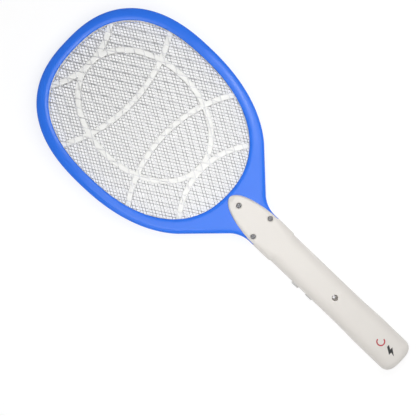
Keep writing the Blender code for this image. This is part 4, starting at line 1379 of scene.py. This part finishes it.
def dress_inner_nodes(finishes):
    nodes_of = {
        "black": ["slide_switch_body", "push_switch_body", "transistor", "battery_case", "plug_carriage"],
        "grey": ["push_switch_plunger", "battery_lid"],
        "board": ["circuit_board"],
        "core": ["transformer_core"],
        "copper": ["transformer_winding"],
        "film": ["storage_capacitor"],
        "lead": ["battery_plates"],
        "brass": ["battery_terminal_left", "battery_terminal_right"],
        "red_wire": ["live_lead", "battery_lead_plus"],
        "black_wire": ["guard_lead", "battery_lead_minus"],
        "beige": ["resistor_1", "resistor_2"],
    }
    for number in range(1, 4):
        nodes_of["film"].append(f"multiplier_capacitor_{number}")
        nodes_of["black"].append(f"diode_{number}")
    for finish, nodes in nodes_of.items():
        for node in nodes:
            slots = frame["nodes"][node].data.materials
            slots.clear()
            slots.append(finishes[finish])


# Floor, lights and camera

def make_floor():
    """A plain white floor, which glows a little so that shadows on it stay faint."""
    builder = bmesh.new()
    bmesh.ops.create_grid(builder, x_segments=1, y_segments=1, size=FLOOR_SIZE)
    finish = plastic(*FLOOR)
    set_shader(finish, "Specular IOR Level", 0.0)
    set_shader(finish, "Emission Color", (1.0, 1.0, 1.0, 1.0))
    set_shader(finish, "Emission Strength", FLOOR_GLOW)
    floor = add_piece("floor", builder, finish)
    floor.location.z = cad_box[0].z - GAP


def make_world():
    world = bpy.data.worlds.new("studio")
    world.use_nodes = True
    background = world.node_tree.nodes["Background"]
    background.inputs["Color"].default_value = (1.0, 1.0, 1.0, 1.0)
    background.inputs["Strength"].default_value = WORLD_STRENGTH
    bpy.context.scene.world = world


def softbox(name, place, target, width, height, power):
    """An area light turned towards its target: width and height in metres, power in watts."""
    light = bpy.data.lights.new(name, "AREA")
    light.shape = "RECTANGLE"
    light.size = width
    light.size_y = height
    light.energy = power
    lamp_object = bpy.data.objects.new(name, light)
    lamp_object.location = place
    lamp_object.rotation_euler = (Vector(target) - Vector(place)).to_track_quat("-Z", "Y").to_euler()
    bpy.context.scene.collection.objects.link(lamp_object)


def make_lights():
    """A wide top light, weaker ones at the sides and beyond the tail, and two small ones for glints."""
    make_world()
    softbox("top_softbox", (0.08, -0.02, 0.56), (0.08, -0.02, 0.0), 0.76, 0.40, 2.15)
    softbox("left_softbox", (-0.34, -0.03, 0.52), (0.0, 0.0, 0.0), 0.25, 0.40, 0.36)
    softbox("right_softbox", (0.36, 0.0, 0.52), (0.0, 0.0, 0.0), 0.25, 0.40, 0.10)
    softbox("glint_softbox", (0.29, 0.10, 0.90), (0.09, 0.08, 0.0), 0.12, 0.32, 0.62)
    softbox("low_softbox", (0.05, -1.05, 0.62), (0.0, 0.20, 0.0), 0.40, 0.15, 0.8)
    softbox("spark_softbox", (0.02, -0.14, 0.90), (0.0, 0.20, 0.0), 0.06, 0.06, 0.22)


def make_camera():
    """Straight above the swatter, turned so that its head points up and to the left."""
    middle = (cad_box[0] + cad_box[1]) / 2
    data = bpy.data.cameras.new("camera")
    data.lens = CAMERA_LENS
    data.sensor_width = CAMERA_SENSOR
    camera = bpy.data.objects.new("camera", data)
    x, y = CAMERA_OFFSET
    camera.location = (middle.x + x, middle.y + y, MID_Z + HEAD_HALF_HEIGHT + CAMERA_AWAY)
    camera.rotation_euler = (0.0, 0.0, CAMERA_TURN)
    bpy.context.scene.collection.objects.link(camera)
    bpy.context.scene.camera = camera


def main():
    finishes = make_materials()
    for side_name in SIDES:
        blue_frame(side_name, finishes["blue"])
        spacer(side_name, finishes["white"])
    make_meshes(finishes)
    rear_cover(finishes["cream"])
    front_cover(finishes["cream"])
    make_screws(finishes)
    slide_knob(finishes["grey"])
    button(finishes["grey"])
    for word in ("left", "right"):
        pin(word, finishes["chrome"])
    slider(finishes["grey"])
    lamp(finishes["lamp"])
    ring_mark(finishes["red_print"])
    bolt_mark(finishes["dark_print"])
    dress_inner_nodes(finishes)
    make_floor()
    make_lights()
    make_camera()
    bpy.context.scene.view_settings.view_transform = "Standard"


main()
